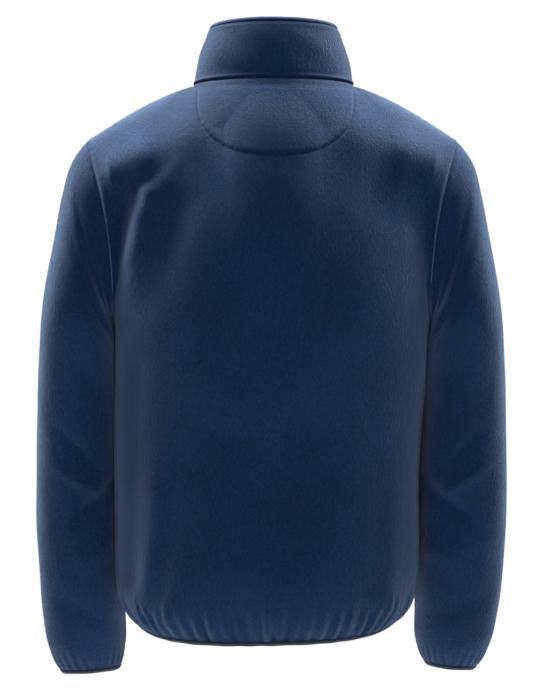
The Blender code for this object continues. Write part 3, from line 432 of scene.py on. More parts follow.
# Noise of a scale, in waves to the metre.
def noise(tree, place, scale, detail=2.0, **shape):
    inputs = {"Vector": place, "Scale": scale, "Detail": detail, **shape}
    return addNode(tree, "ShaderNodeTexNoise", **inputs).outputs[0]


# A value moved from one range to another, 0 to 1 where none is given.
def moved(tree, value, **limits):
    return addNode(tree, "ShaderNodeMapRange", Value=value, **limits).outputs[0]


# Blend of two colours: the first where the share is 0 and the second where it is 1.
def blend(tree, share, first, second):
    inputs = {"_0": share, "_6": first, "_7": second}
    return addNode(tree, "ShaderNodeMix", {"data_type": "RGBA"}, **inputs).outputs[2]


# Empty node group and its input sockets. An input's kind follows its first value: none for
# a vector, four numbers for a colour and one for a plain value.
def newGroup(name, **inputs):
    group = bpy.data.node_groups.new(name, "ShaderNodeTree")
    for key, value in inputs.items():
        kind = "Vector" if value is None else "Color" if isinstance(value, tuple) else "Float"
        socket = group.interface.new_socket(key, in_out="INPUT", socket_type="NodeSocket" + kind)
        if value is not None:
            socket.default_value = value
    return group, group.nodes.new("NodeGroupInput").outputs


# Gives a group its outputs by name, the colour as a colour and the rest as plain values.
def closeGroup(group, **results):
    for key in results:
        kind = "NodeSocketColor" if key == "Colour" else "NodeSocketFloat"
        group.interface.new_socket(key, in_out="OUTPUT", socket_type=kind)
    setInputs(group.nodes.new("NodeGroupOutput"), **results)
    return group


black, white = (0, 0, 0, 1), (1, 1, 1, 1)
fleece = {
    "deep": (0.0007, 0.0062, 0.0245, 1), "pale": (0.0028, 0.019, 0.068, 1), "specular": 0.26,
    "specularTint": (0.4, 0.68, 1.0, 1), "sheen": 0.22, "sheenRoughness": 0.33,
    "sheenTint": (0.5, 0.7, 1.0, 1), "clump": 0.0024, "fibre": 0.0012, "bump": 0.0026,
    "upright": (1, 1, 0.6), "clumpShare": 0.55, "fibreShare": 0.45, "slowShare": 0.16,
    # The inside share darkens the half moon patch's fleece: painted shade for a piece inside the
    # jacket.
    "slowScale": 11.0, "deepUpTo": 0.51, "paleFrom": 0.71, "smoothest": 0.82, "inside": 0.9,
}
weave = {
    "roughness": 0.85, "sheen": 0.1, "specular": 0.15,
    "binding": {
        "Deep": (0.004, 0.006, 0.009, 1), "Pale": (0.014, 0.017, 0.022, 1),
        "Along": 0.0013, "Across": 0.0009, "bump": 0.0004,
    },
    "tape": {
        "Deep": (0.006, 0.011, 0.026, 1), "Pale": (0.014, 0.024, 0.052, 1),
        "Along": 0.0009, "Across": 0.0007, "bump": 0.0002,
    },
}
thread = {
    "navy": (0.008, 0.016, 0.038, 1), "black": (0.006, 0.007, 0.009, 1),
    # darkNavy is partly the thread's own colour and partly painted shade: it is darker than the
    # navy thread, so that it draws the grooves' shadow line where it is sewn.
    "darkNavy": (0.002, 0.006, 0.018, 1), "darkest": 0.6, "palest": 1.4, "twist": 2600.0,
    "roughness": 0.8, "sheen": 0.05, "specular": 0.12, "bump": 0.0002,
}
plastic = {
    "deep": (0.008, 0.014, 0.032, 1), "pale": (0.016, 0.026, 0.055, 1), "grain": 1500.0,
    "smoothest": 0.6, "roughest": 0.75, "specular": 0.2, "bump": 0.0001,
}
metal = {
    "paint": (0.02, 0.022, 0.027, 1), "bare": (0.11, 0.11, 0.115, 1), "wear": 420.0,
    "paintUpTo": 0.56, "bareFrom": 0.72, "grain": 3200.0, "smoothest": 0.28, "roughest": 0.5,
    "metallic": 0.85, "bump": 0.00004,
}
tints = {"Sheen_Tint": fleece["sheenTint"], "Specular_Tint": fleece["specularTint"]}


# Brushed nap: soft upright clumps of pile and single fibres, summed by their shares. The
# colour has a share of a slow noise as well.
def napGroup():
    group, given = newGroup(
        "brushedNap", Place=None, Deep=black, Pale=white, Clump=fleece["clump"],
        Fibre=fleece["fibre"],
    )
    place = given["Place"]
    upright = addNode(
        group, "ShaderNodeVectorMath", {"operation": "MULTIPLY"}, _0=place, _1=fleece["upright"]
    )
    clump = noise(
        group, upright.outputs[0], maths(group, "DIVIDE", 1.0, given["Clump"]), detail=3.0,
        Roughness=0.6, Distortion=0.6,
    )
    fibre = noise(
        group, place, maths(group, "DIVIDE", 1.0, given["Fibre"]), Roughness=0.65, Distortion=1.2
    )
    clump = maths(group, "MULTIPLY", clump, fleece["clumpShare"])
    nap = maths(group, "MULTIPLY_ADD", fibre, fleece["fibreShare"], clump)
    slow = noise(group, place, fleece["slowScale"])
    shade = maths(group, "MULTIPLY_ADD", slow, fleece["slowShare"], nap)
    shade = moved(group, shade, From_Min=fleece["deepUpTo"], From_Max=fleece["paleFrom"])
    return closeGroup(
        group, Colour=blend(group, shade, given["Deep"], given["Pale"]),
        Roughness=moved(group, nap, To_Min=fleece["smoothest"], To_Max=1.0), Height=nap,
    )


# Knit or woven ribs on a piece's own pattern coordinates. Each wave is half a sine and a
# half, and the height is half the wave along plus the product of both waves.
def ribGroup():
    group, given = newGroup(
        "ribbedWeave", Place=None, Deep=black, Pale=white, Along=0.0012, Across=0.0008
    )
    split = addNode(group, "ShaderNodeSeparateXYZ", Vector=given["Place"])
    waves = []
    for axis, name in enumerate(("Along", "Across")):
        share = maths(group, "DIVIDE", split.outputs[axis], given[name])
        wave = maths(group, "SINE", maths(group, "MULTIPLY", share, 2 * math.pi))
        waves.append(maths(group, "MULTIPLY_ADD", wave, 0.5, 0.5))
    high = maths(group, "MULTIPLY_ADD", waves[0], 0.5, maths(group, "MULTIPLY", *waves))
    return closeGroup(
        group, Colour=blend(group, high, given["Deep"], given["Pale"]), Height=high
    )


# Rubbed paint: bare where a slow noise passes a limit, with a fine noise as roughness.
def rubbedGroup():
    group, given = newGroup("rubbedPaint", Place=None, Paint=black, Bare=white)
    fine = noise(group, given["Place"], metal["grain"])
    worn = moved(
        group, noise(group, given["Place"], metal["wear"], detail=4.0),
        From_Min=metal["paintUpTo"], From_Max=metal["bareFrom"],
    )
    return closeGroup(
        group, Colour=blend(group, worn, given["Paint"], given["Bare"]),
        Roughness=moved(group, fine, To_Min=metal["smoothest"], To_Max=metal["roughest"]),
        Height=fine,
    )


# Empty material with its node tree.
def newMaterial(name):
    mat = bpy.data.materials.new(name)
    mat.use_nodes = True
    return mat, mat.node_tree


# Place in the object's own coordinates, for a pattern that stays on the piece.
def objectPlace(tree):
    return tree.nodes.new("ShaderNodeTexCoord").outputs["Object"]


# Copy of a shared node group in a material: its output sockets.
def useGroup(tree, group, place, **inputs):
    return addNode(tree, "ShaderNodeGroup", {"node_tree": group}, Place=place, **inputs).outputs


# Sets a material's surface, and raises it by a height times bump metres.
def setSurface(mat, height=None, bump=0, **inputs):
    if height:
        relief = addNode(mat.node_tree, "ShaderNodeBump", Height=height, Distance=bump)
        inputs["Normal"] = relief.outputs[0]
    setInputs(mat.node_tree.nodes["Principled BSDF"], **inputs)
    return mat


# A colour with its three parts multiplied by a share.
def shaded(colour, share):
    return tuple(c * share for c in colour[:3]) + (1,)


# Fleece: the brushed nap, its colours multiplied by a share, under a blue sheen. A share below
# one gives a darker copy of the same fleece, which is painted shade.
def fleeceMaterial(name, share=1.0):
    mat, tree = newMaterial(name)
    nap = useGroup(
        tree, napTree, objectPlace(tree), Deep=shaded(fleece["deep"], share),
        Pale=shaded(fleece["pale"], share), Clump=fleece["clump"], Fibre=fleece["fibre"],
    )
    return setSurface(
        mat, nap["Height"], fleece["bump"], Base_Color=nap["Colour"], Roughness=nap["Roughness"],
        Sheen_Weight=fleece["sheen"], Sheen_Roughness=fleece["sheenRoughness"],
        Specular_IOR_Level=fleece["specular"], **tints,
    )


# Knit or weave: ribs along and across a piece's pattern layer.
def wovenMaterial(name, look):
    mat, tree = newMaterial(name)
    layer = addNode(tree, "ShaderNodeUVMap", {"uv_map": "pattern"}).outputs[0]
    values = {key: look[key] for key in ("Deep", "Pale", "Along", "Across")}
    ribs = useGroup(tree, ribTree, layer, **values)
    return setSurface(
        mat, ribs["Height"], look["bump"], Base_Color=ribs["Colour"],
        Roughness=weave["roughness"], Sheen_Weight=weave["sheen"],
        Specular_IOR_Level=weave["specular"], **tints,
    )


# Thread: a fine noise between a darker and a paler share of one colour.
def threadMaterial(name, colour):
    mat, tree = newMaterial(name)
    twist = noise(tree, objectPlace(tree), thread["twist"])
    dark, pale = shaded(colour, thread["darkest"]), shaded(colour, thread["palest"])
    return setSurface(
        mat, twist, thread["bump"], Base_Color=blend(tree, twist, dark, pale),
        Roughness=thread["roughness"], Sheen_Weight=thread["sheen"],
        Specular_IOR_Level=thread["specular"], **tints,
    )


# Moulded plastic: a grain between two colours and two roughnesses.
def plasticMaterial(name):
    mat, tree = newMaterial(name)
    grain = noise(tree, objectPlace(tree), plastic["grain"], detail=3.0)
    return setSurface(
        mat, grain, plastic["bump"],
        Base_Color=blend(tree, grain, plastic["deep"], plastic["pale"]),
        Roughness=moved(tree, grain, To_Min=plastic["smoothest"], To_Max=plastic["roughest"]),
        Specular_IOR_Level=plastic["specular"],
    )


# Painted metal, rubbed bare in places.
def metalMaterial(name):
    mat, tree = newMaterial(name)
    paint = useGroup(
        tree, rubbedTree, objectPlace(tree), Paint=metal["paint"], Bare=metal["bare"]
    )
    return setSurface(
        mat, paint["Height"], metal["bump"], Base_Color=paint["Colour"],
        Roughness=paint["Roughness"], Metallic=metal["metallic"],
    )


napTree, ribTree, rubbedTree = napGroup(), ribGroup(), rubbedGroup()
fleeceCloth = fleeceMaterial("navyFleece")
# Darker copy of the fleece, painted shade, for the half moon patch inside the back.
fleeceShadedInside = fleeceMaterial("navyFleeceShadedInside", fleece["inside"])
bindingKnit = wovenMaterial("charcoalBinding", weave["binding"])
tapeWeave = wovenMaterial("navyTape", weave["tape"])
navyThread = threadMaterial("navyThread", thread["navy"])
blackThread = threadMaterial("blackThread", thread["black"])
# Darker thread for the half moon and the neck seam: its own colour deepened by painted shade, for
# the shadow line of their grooves.
shadeLineThread = threadMaterial("darkNavyShadeLineThread", thread["darkNavy"])
zipPlastic = plasticMaterial("navyTeeth")
zipMetal = metalMaterial("darkMetal")
print("materials ready")


# Makes a finished piece move with a body and hides the nodes that it stands for. Its slot name is
# not used.
def finishPiece(obj, slotName, *nodes, body=jacketBody):
    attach(obj, body)
    if nodes:
        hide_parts(*nodes)
    return obj


# Folds of the body, each from x, z to x, z, with its width and its height at either end.
backFolds = [
    (104, -64, 160, -92, 30, 6, 11), (160, -92, 214, -112, 27, 11, 12),
    (-104, -62, -160, -84, 30, 6, 10), (-160, -84, -214, -102, 27, 10, 10),
    (118, -96, 146, -134, 15, 4, 9), (146, -134, 158, -164, 15, 9, 9),
    (158, -164, 170, -215, 15, 9, 6), (170, -215, 176, -280, 16, 6, 0),
    (182, -150, 192, -190, 16, -7, -6), (192, -190, 194, -260, 14, -6, 0),
    (108, -150, 136, -240, 20, -5, -3), (-128, -140, -184, -170, 26, -3, -4),
    (128, -380, 140, -500, 17, 0, 6), (140, -500, 152, -650, 16, 6, 5),
    (168, -350, 178, -600, 16, -4, -8), (78, -360, 84, -480, 24, 2.5, 0),
    (94, -500, 128, -660, 12, 0, 5), (120, -480, 148, -650, 10, 0, -4.5),
    (54, -520, 42, -670, 13, 0, -5), (2, -540, 8, -670, 16, 0, 3.5),
    (-20, -580, -22, -672, 9, 0, -4.5), (-48, -560, -54, -670, 13, 0, 4),
    (-118, -560, -112, -670, 12, 0, -5), (-150, -460, -144, -640, 14, 1, 4),
]
frontFolds = [
    (110, -60, 210, -110, 26, 5, 9), (-110, -60, -208, -104, 26, 5, 9),
    (132, -80, 164, -170, 13, 6, 6), (150, -76, 182, -160, 11, -4, -4),
    (-128, -84, -160, -185, 14, 6, 6), (-148, -80, -180, -165, 11, -4, -4),
    (70, -150, 110, -290, 22, 3.5, 1), (-76, -160, -104, -310, 24, 3, 1),
    (120, -400, 140, -640, 17, 0, 5), (96, -430, 108, -650, 14, 0, -4),
    (-124, -380, -136, -630, 17, 0, 5), (-94, -450, -104, -655, 14, 0, -4),
    (52, -520, 56, -660, 13, 0, 4), (-48, -500, -56, -660, 14, 0, 4),
]
# A spread is a list of places and how close the columns or rows stand at each.
panel = {
    "gatherDeep": 1.7, "gatherTall": 46.0, "gatherLean": 0.6, "gathers": 16,
    "gatherUneven": ((0.35, 23), (0.25, 41)), "gatherDrift": (0.5, 9), "tallUneven": (0.25, 31),
    "seamFade": 0.12, "zipFade": 0.15, "hemFade": 30.0, "slowDeep": 0.7, "slowLong": 95,
    "seamDip": 0.9, "seamWide": 1.9, "seamPuff": 0.45, "puffFrom": 6.0, "puffWide": 3.2,
    "pucker": 0.22, "puckerLong": 8.5, "puckerFrom": 2.0, "puckerWide": 6.0, "puckerDrift": 31,
    "edgePuff": 2.6, "edgeFrom": 8.0, "edgeWide": 6.0, "edgeBelow": (100, 150),
    "ridgeOut": (0.47, -0.1, 0.88), "turnFrom": 0.988,
    "rows": 290, "backColumns": 266, "frontColumns": 140,
    "rowSpread": (
        [-1, -0.93, -0.85, 0, 0.5, 0.68, 0.73, 0.97, 1],
        [2.6, 2, 1, 0.9, 0.9, 1.1, 2.5, 2.7, 3.6],
    ),
    "backSpread": (
        [-1, -0.96, -0.9, -0.42, -0.38, 0.38, 0.42, 0.9, 0.96, 1],
        [3.2, 1.6, 0.9, 0.9, 1.6, 1.6, 0.9, 0.9, 1.6, 3.2],
    ),
    "frontSpread": ([1e-9, 0.06, 0.12, 0.9, 1], [2.4, 2, 1, 1, 2.6]),
}
moon = {
    "x": -4.2, "z": -6.0, "half": 97.0, "deep": 83.0, "power": 2.6, "raise": 0.7,
    "raiseWide": 5.0, "groove": 1.35, "grooveWide": 1.5, "pucker": 0.2, "puckers": 70,
    "puckerDrift": 5, "puckerWide": 5.0, "seenFrom": (-6, 2), "lineEnd": 0.06, "linePoints": 260,
}
zipSeam = {"dip": 0.7, "wide": 1.2, "row": 6.5, "rowDip": 0.5, "rowWide": 1.6}


# How far a place on the back lies outside the half moon's stitched line, along the ray from
# the moon's top middle: r (1 - 1 / F), with F = (|x/half|^p + |z/deep|^p)^(1/p).
def moonDistance(x, z):
    across, down = (x - moon["x"]) / moon["half"], (z - moon["z"]) / moon["deep"]
    f = (np.abs(across) ** moon["power"] + np.abs(down) ** moon["power"]) ** (1 / moon["power"])
    r = np.hypot(x - moon["x"], z - moon["z"])
    return r * (1 - 1 / np.maximum(f, 1e-6))


# The half moon's sewing: a groove along its line, the cloth raised inside it, and short
# puckers across it.
def moonRelief(x, z):
    away = moonDistance(x, z)
    turn = np.arctan2(x - moon["x"], moon["z"] - z)
    drift = 2 * np.sin(moon["puckerDrift"] * turn)
    pucker = moon["pucker"] * np.sin(turn * moon["puckers"] + drift)
    height = moon["raise"] * easeStep(-away, 0, moon["raiseWide"])
    height -= moon["groove"] * bell(away, moon["grooveWide"])
    height += pucker * bell(away, moon["puckerWide"])
    return height * easeStep(moon["z"] - z, *moon["seenFrom"])


# Distances in millimetres from a grid's left, right, low and high edge, along its own rows
# and columns.
def edgeDistances(p):
    across, up = walked(p, 1), walked(p)
    return across, across[:, -1:] - across, up, up[-1:] - up


# What sewing does to the cloth beside a seam: it dips into the seam, puffs beside it, and
# puckers in short waves along it.
def seamRelief(distance, along, seed):
    dip = -panel["seamDip"] * bell(distance, panel["seamWide"])
    puff = panel["seamPuff"] * bell(distance - panel["puffFrom"], panel["puffWide"])
    drift = 2 * np.sin(along / panel["puckerDrift"] + seed)
    wave = np.sin(2 * math.pi * along / panel["puckerLong"] + drift)
    near = bell(distance - panel["puckerFrom"], panel["puckerWide"])
    return dip + puff + panel["pucker"] * wave * near


# How far the cloth dips at its zip edge and at the stitch row beside it.
def zipDip(distance):
    row = bell(distance - zipSeam["row"], zipSeam["rowWide"])
    return zipSeam["dip"] * bell(distance, zipSeam["wide"]) + zipSeam["rowDip"] * row


# A body panel's outer grid: the plain form moved out by its folds, its gathers above the
# elastic, slow unevenness and its seams.
def panelOuter(s, v, face):
    p = plainPanel(s, v, face)
    x, z = p[..., 0], p[..., 2]
    left, right, _, high = edgeDistances(p)
    up = (form["hem"] - form["armpit"]) * (v + 1)
    byHem = fadeIn(up, panel["hemFade"])
    inside = fadeIn(1 - np.abs(s), panel["seamFade"]) * fadeIn(1 - v, panel["seamFade"]) * byHem
    (large, seldom), (small, often) = panel["gatherUneven"]
    uneven = large * np.sin(s * seldom + 1.3 * face) + small * np.sin(s * often + 2)
    drift, drifts = panel["gatherDrift"]
    wave = np.cos(2 * math.pi * panel["gathers"] * s + drift * np.sin(drifts * s))
    change, changes = panel["tallUneven"]
    tall = panel["gatherTall"] * (1 + change * np.sin(s * changes + face))
    shape = np.sin(math.pi * fadeIn(up, tall) ** panel["gatherLean"])
    height = foldHeight(backFolds if face > 0 else frontFolds, x, z) * inside
    height += panel["gatherDeep"] * (1 + uneven) * wave * shape
    height += panel["slowDeep"] * unevenWaves(x, z, panel["slowLong"], 2 + face) * inside
    if face > 0:
        height += seamRelief(left, z, 1) + seamRelief(right, z, 2) + seamRelief(high, x, 3)
        beside = bell(np.minimum(left, right) - panel["edgeFrom"], panel["edgeWide"])
        beside = beside * easeStep(-z, *panel["edgeBelow"]) * byHem
        height += panel["edgePuff"] * beside + moonRelief(x, z)
    else:
        height *= fadeIn(np.abs(s), panel["zipFade"]) ** 2
        side, zipSide = (left, right) if s[0, 0] < -0.5 else (right, left)
        height += seamRelief(side, z, 4) + seamRelief(high, x, 5) - zipDip(zipSide)
    return p + gridNormals(p, sign=face) * height[..., None]


# The direction of a wall at its seams, shared by both pieces that meet there: a mix of
# outward, by the sine and cosine of the turn, and up.
def neckNormal(turn):
    out, up = form["neckOut"]
    return unit(np.stack([out * np.sin(turn), out * np.cos(turn), up + 0 * turn], -1))


# The same at an armhole: behind and in front by the sine, up by the cosine.
def armholeNormal(turn, side):
    across = form["holeOut"] * side
    return unit(np.stack([across + 0 * turn, np.sin(turn), np.cos(turn)], -1))


# Turns the wall's direction to the shared one over the last few millimetres of each seam.
def panelDirections(p, s, v, face):
    out = gridNormals(p, sign=face)
    side = np.where(s < 0, -1.0, 1.0)
    size = np.abs(s)
    nearSide = easeStep(size, panel["turnFrom"], 1)[..., None]
    nearTop = easeStep(v, panel["turnFrom"], 1)[..., None]
    level = unit(out * (1, 0, 1))
    hole = armholeNormal(math.pi * (1 - np.maximum(v, 0)) * face, side)
    atSide = np.where((v > 0)[..., None], hole, level)
    turn = math.pi / 2 * np.minimum(size / form["neckShare"], 1)
    turn = (turn if face > 0 else math.pi - turn) * side
    ridge = unit(np.stack([side, 1 + 0 * s, 1 + 0 * s], -1) * panel["ridgeOut"])
    atTop = np.where((size > form["neckShare"])[..., None], ridge, neckNormal(turn))
    out = unit(out * (1 - nearTop) + atTop * nearTop)
    return unit(out * (1 - nearSide) + atSide * nearSide)


# Draws a grid's edges in by half the gap, so that neighbours don't touch.
def drawIn(p, top=True, bottom=True, left=True, right=True):
    p = p.copy()
    gap = form["gap"] / 2
    for wanted, edge, beside in ((bottom, 0, 1), (top, -1, -2)):
        if wanted:
            p[edge] += unit(p[beside] - p[edge]) * gap
    for wanted, edge, beside in ((left, 0, 1), (right, -1, -2)):
        if wanted:
            p[:, edge] += unit(p[:, beside] - p[:, edge]) * gap
    return p


# Body panel of cloth between its outer grid and the same grid moved in by the cloth's
# thickness. Its edges are drawn in, except at the zip.
def makePanel(name, face, columns, node):
    s, v = np.meshgrid(columns, stations(panel["rows"], *panel["rowSpread"]))
    outer = panelOuter(s, v, face)
    inner = outer - panelDirections(outer, s, v, face) * form["cloth"]
    seams = {
        "left": abs(columns[0]) > panel["zipFade"], "right": abs(columns[-1]) > panel["zipFade"]
    }
    outer, inner = drawIn(outer, **seams), drawIn(inner[::2, ::2], **seams)
    return finishPiece(clothWall(name, outer, inner, fleeceCloth), "fleece", node), outer


backColumns = stations(panel["backColumns"], *panel["backSpread"])
frontColumns = stations(panel["frontColumns"], *panel["frontSpread"])
backCloth, backGrid = makePanel("backCloth", 1, backColumns, "back_panel")
frontLeft, frontLeftGrid = makePanel("frontLeftCloth", -1, frontColumns, "front_left")
frontRight, frontRightGrid = makePanel("frontRightCloth", -1, -frontColumns[::-1], "front_right")
print("body panels ready")


# Folds of a sleeve, each with its place from the armhole, its place round in degrees, its
# width along and round, its slant and its height.
sleeveFolds = [
    (215, 74, 88, 48, 0, 14), (215, -80, 88, 46, 0, 7), (75, 115, 14, 32, 0.6, -2.4),
    (104, 105, 13, 34, 0.7, 2.2), (150, 118, 16, 30, 0.8, -2), (188, 110, 17, 36, 0.6, 1.8),
    (410, 112, 13, 40, 0.9, -5), (434, 95, 11, 40, 0.6, 4), (462, 108, 13, 44, -0.7, -5.5),
    (520, 120, 18, 34, -0.4, 3), (590, 80, 16, 46, 0.4, -2.5), (90, -110, 15, 34, -0.6, -2.6),
    (128, -105, 15, 34, -0.7, 2.4), (400, -100, 15, 42, -0.8, -4), (430, -110, 13, 42, -0.6, 4),
    (470, -104, 15, 42, 0.6, -5), (560, -90, 18, 48, 0.4, 2.5), (52, 70, 10, 22, 0.5, -1.8),
    (126, 78, 14, 26, 0.6, 1.5), (300, 120, 22, 40, 0.8, -1.8), (340, 60, 26, 40, 0.5, 1.6),
    (486, 70, 14, 26, -0.5, 1.6), (640, 100, 16, 40, 0.3, -1.8), (62, -72, 10, 24, -0.5, -1.8),
]
sleeve = {
    "cuffEdge": 677.0, "armholeFade": 70.0, "foldFade": 45.0, "cuffFade": 40.0, "bodyFade": 60.0,
    "capPuff": 0.7, "capFrom": 16.0, "tuck": 2.2, "tuckFrom": 9.0, "capWide": 11.0,
    "tuckBehind": (0.3, 0.5), "tuckEnd": (-1, -0.85), "gatherDeep": 0.8, "gathers": 26,
    "gatherTall": 30.0, "gatherLean": 0.6, "slowDeep": 0.8, "slowLong": 90, "slowFade": 40.0,
    "slowStretch": 1.2,
    "armpitClear": -1.5, "sideClear": 2.5, "clearFrom": (320, 420), "sideSoft": 5.0,
    "sideSettle": 1.25, "turnWide": 6.0, "rows": 290, "columns": 156,
    "rowSpread": ([0, 0.04, 0.9, 1], [3.4, 1, 1, 1.8]),
    "columnSpread": ([0, 0.9, 1, 1.1, 2], [1, 1, 2.6, 1, 1]),
}


# Keeps a sleeve's inner side off the body: the larger of x and the body's own half width
# there, gently rounded between the two.
def besideBody(x, y, z, side):
    below = np.clip(-z, form["armpit"], form["hem"])
    back = readCurve(bodyRings, "back", below) - form["sideY"]
    front = readCurve(bodyRings, "front", below) + form["sideY"]
    deep = np.where(y > form["sideY"], back, front)
    angle = np.arccos(fadeIn(np.abs(y - form["sideY"]), deep))
    width = readCurve(bodyRings, "half", below) * np.sin(angle) * swell(angle)
    opened = (sleeve["sideClear"] - sleeve["armpitClear"]) * easeStep(-z, *sleeve["clearFrom"])
    clear = sleeve["armpitClear"] + opened
    width = width + side * readCurve(bodyRings, "shift", below) + clear
    soft = np.sqrt((x - width) ** 2 + sleeve["sideSoft"] ** 2) - sleeve["sideSettle"]
    return (x + width + soft) / 2


# Folds of a sleeve: ellipses of bell curves on its unrolled surface, each slanting by so
# many millimetres along for a degree round.
def sleeveHeight(along, degrees):
    height = 0 * along
    for at, place, tall, broad, slant, high in sleeveFolds:
        off = degrees - place
        height += high * bell(along - at - slant * off, tall) * bell(off, broad)
    height *= fadeIn(along, sleeve["foldFade"])
    return height * fadeIn(sleeve["cuffEdge"] - along, sleeve["cuffFade"])


# Sleeve: rings between the outer and inner line of the arm, with squared corners. s is the
# turn round it in half turns, v runs from the armhole, 0, to the end of the table, 1.
def sleeveSurface(s, v, side):
    along, turn = v * sleeveRings["along"][-1], s * math.pi
    ring = {key: readCurve(sleeveRings, key, along) for key in list(sleeveRings)[1:]}
    near, far = (0, 0) if side > 0 else (ring["near"], ring["far"])
    inner = np.stack([ring["innerX"] - near, 0 * along, ring["innerZ"] + far / 2], -1)
    outer = np.stack([ring["outerX"] - far, 0 * along, ring["outerZ"] + far / 2], -1)
    height = sleeveHeight(along, np.degrees(turn))
    reach = (outer - inner) / 2 + unit(outer - inner) * height[..., None]
    p = (outer + inner) / 2 + reach * (np.cos(turn) * swell(turn))[..., None]
    p[..., 1] = ring["y"] + (ring["deep"] + height) * np.sin(turn) * swell(turn)
    away = besideBody(p[..., 0], p[..., 1], p[..., 2], side) - p[..., 0]
    p[..., 0] += away * fadeIn(along, sleeve["bodyFade"])
    first = np.clip(1 - along / sleeve["armholeFade"], 0, 1) ** 2
    change = armholeCurve(turn, float(side)) - firstRing(turn, side)
    return p * (side, 1, 1) + change * first[..., None]


# The plain first ring of the sleeve's table, which the armhole's own curve replaces.
def firstRing(turn, side):
    ring = {key: values[0] for key, values in sleeveRings.items()}
    outer = np.array([ring["outerX"], 0, ring["outerZ"]], float)
    inner = np.array([ring["innerX"], 0, ring["innerZ"]], float)
    p = (outer + inner) / 2 + (outer - inner) / 2 * (np.cos(turn) * swell(turn))[..., None]
    p[..., 1] = ring["y"] + ring["deep"] * np.sin(turn) * swell(turn)
    return p * (side, 1, 1)


# Turns round a sleeve in half turns, 0 to 1 behind and -1 to 0 in front, closer together at
# the seam under the arm.
def sleeveTurns(count):
    s = stations(count, *sleeve["columnSpread"])[:-1]
    return np.where(s > 1 + 1e-9, s - 2, s)


# Sleeve of cloth: its surface moved out by its seams, the puff of the cap, a tuck at the
# back of the armhole, gathers above the elastic and slow unevenness.
def makeSleeve(name, side, node):
    last = sleeve["cuffEdge"] / sleeveRings["along"][-1]
    rows = stations(sleeve["rows"], *sleeve["rowSpread"]) * last
    s, v = np.meshgrid(sleeveTurns(sleeve["columns"]), rows)
    p = sleeveSurface(s, v, side)
    turn, along = s * math.pi, walked(p)
    left = along[-1:] - along
    deep = readCurve(sleeveRings, "deep", v * sleeveRings["along"][-1])
    height = seamRelief((1 - np.abs(s)) * math.pi * deep, along, 6)
    height += seamRelief(along, np.degrees(turn), 7)
    cap = bell(along - sleeve["capFrom"], sleeve["capWide"]) * np.clip(np.cos(turn), 0, 1)
    tuck = bell(along - sleeve["tuckFrom"], sleeve["capWide"])
    tuck = tuck * easeStep(s, *sleeve["tuckBehind"]) * easeStep(-s, *sleeve["tuckEnd"])
    height += sleeve["capPuff"] * cap - sleeve["tuck"] * tuck
    wave = np.cos(turn * sleeve["gathers"] + np.sin(7 * s))
    shape = np.sin(math.pi * fadeIn(left, sleeve["gatherTall"]) ** sleeve["gatherLean"])
    height += sleeve["gatherDeep"] * wave * shape
    degrees = np.degrees(turn) * sleeve["slowStretch"]
    slow = unevenWaves(along, degrees, sleeve["slowLong"], 4 + side)
    fade = fadeIn(along, sleeve["slowFade"]) * fadeIn(left, sleeve["slowFade"])
    height += sleeve["slowDeep"] * slow * fade
    outer = p + gridNormals(p, closed=True, sign=side) * height[..., None]
    near = easeStep(-along, -sleeve["turnWide"], 0)[..., None]
    away = gridNormals(outer, closed=True, sign=side) * (1 - near)
    away = unit(away + armholeNormal(turn, float(side)) * near)
    inner = outer - away * form["cloth"]
    # Both ends are drawn in, and the armhole's again, for the whole gap to the body.
    outer, inner = (
        drawIn(drawIn(grid, left=False, right=False), top=False, left=False, right=False)
        for grid in (outer, inner[::2, ::2])
    )
    return finishPiece(clothWall(name, outer, inner, fleeceCloth, closed=True), "fleece", node)


sleeveLeft = makeSleeve("sleeveLeftCloth", 1, "sleeve_left")
sleeveRight = makeSleeve("sleeveRightCloth", -1, "sleeve_right")
print("sleeves ready")


# Each relief is measured from an edge: how far from it, how wide and how high.
collar = {
    "bulge": 3.0, "bulgeFade": 0.8, "facing": 1.5, "facingFoot": 0.07, "facingIn": 4.0,
    "rollHigh": 5.0, "rollOut": 0.15, "rollFoot": 1.0, "rollSquare": 0.8, "rollUneven": 0.3,
    "lip": 0.2, "lipIn": 1.2, "facingRows": 34, "rollSteps": 15, "rows": 72, "columns": 320,
    "fromSeam": [(2.8, 2.0, 1.3), (0, 1.2, -1.1)], "fromTop": [(0, 2.0, -0.7), (5, 3, 0.35)],
    "pucker": 0.16, "puckerLong": 1.35, "puckerDrift": 9, "puckerFrom": 2.5, "slowDeep": 0.9,
    "slowLong": 55, "slowStretch": [[[0.7]], [[1.1]]], "slowFade": 10.0, "turnWide": 5.0,
    "rollLong": 60, "rollStretch": 1.7,
    "rowSpread": ([0, 0.12, 0.9, 1], [2.6, 1.4, 1, 1.8]),
    "columnSpread": ([-math.pi, -3.0, -2.7, 2.7, 3.0, math.pi], [3, 2, 1, 1, 2, 3]),
}


# Collar: a straight line from the neck seam to the top edge, with a slight bulge between.
def collarSurface(turn, h):
    low, high = neckRing(turn, collarSeam), neckRing(turn, collarTop)
    out = np.stack([np.sin(turn), np.cos(turn), 0 * turn], -1)
    byZip = fadeIn(math.pi - np.abs(turn), collar["bulgeFade"])
    bulge = collar["bulge"] * 4 * h * (1 - h) * byZip
    return low + (high - low) * h[..., None] + out * bulge[..., None]


# Outward across the collar, level with the ground and square to its ring.
def collarOut(turn):
    size = {key: (collarSeam[key] + collarTop[key]) / 2 for key in collarSeam}
    limit, step = math.pi - 1e-5, 0.002
    before = neckRing(np.clip(turn - step, -limit, limit), size, level=False)
    after = neckRing(np.clip(turn + step, -limit, limit), size, level=False)
    run = after - before
    return unit(np.stack([-run[..., 1], run[..., 0], 0 * turn], -1))


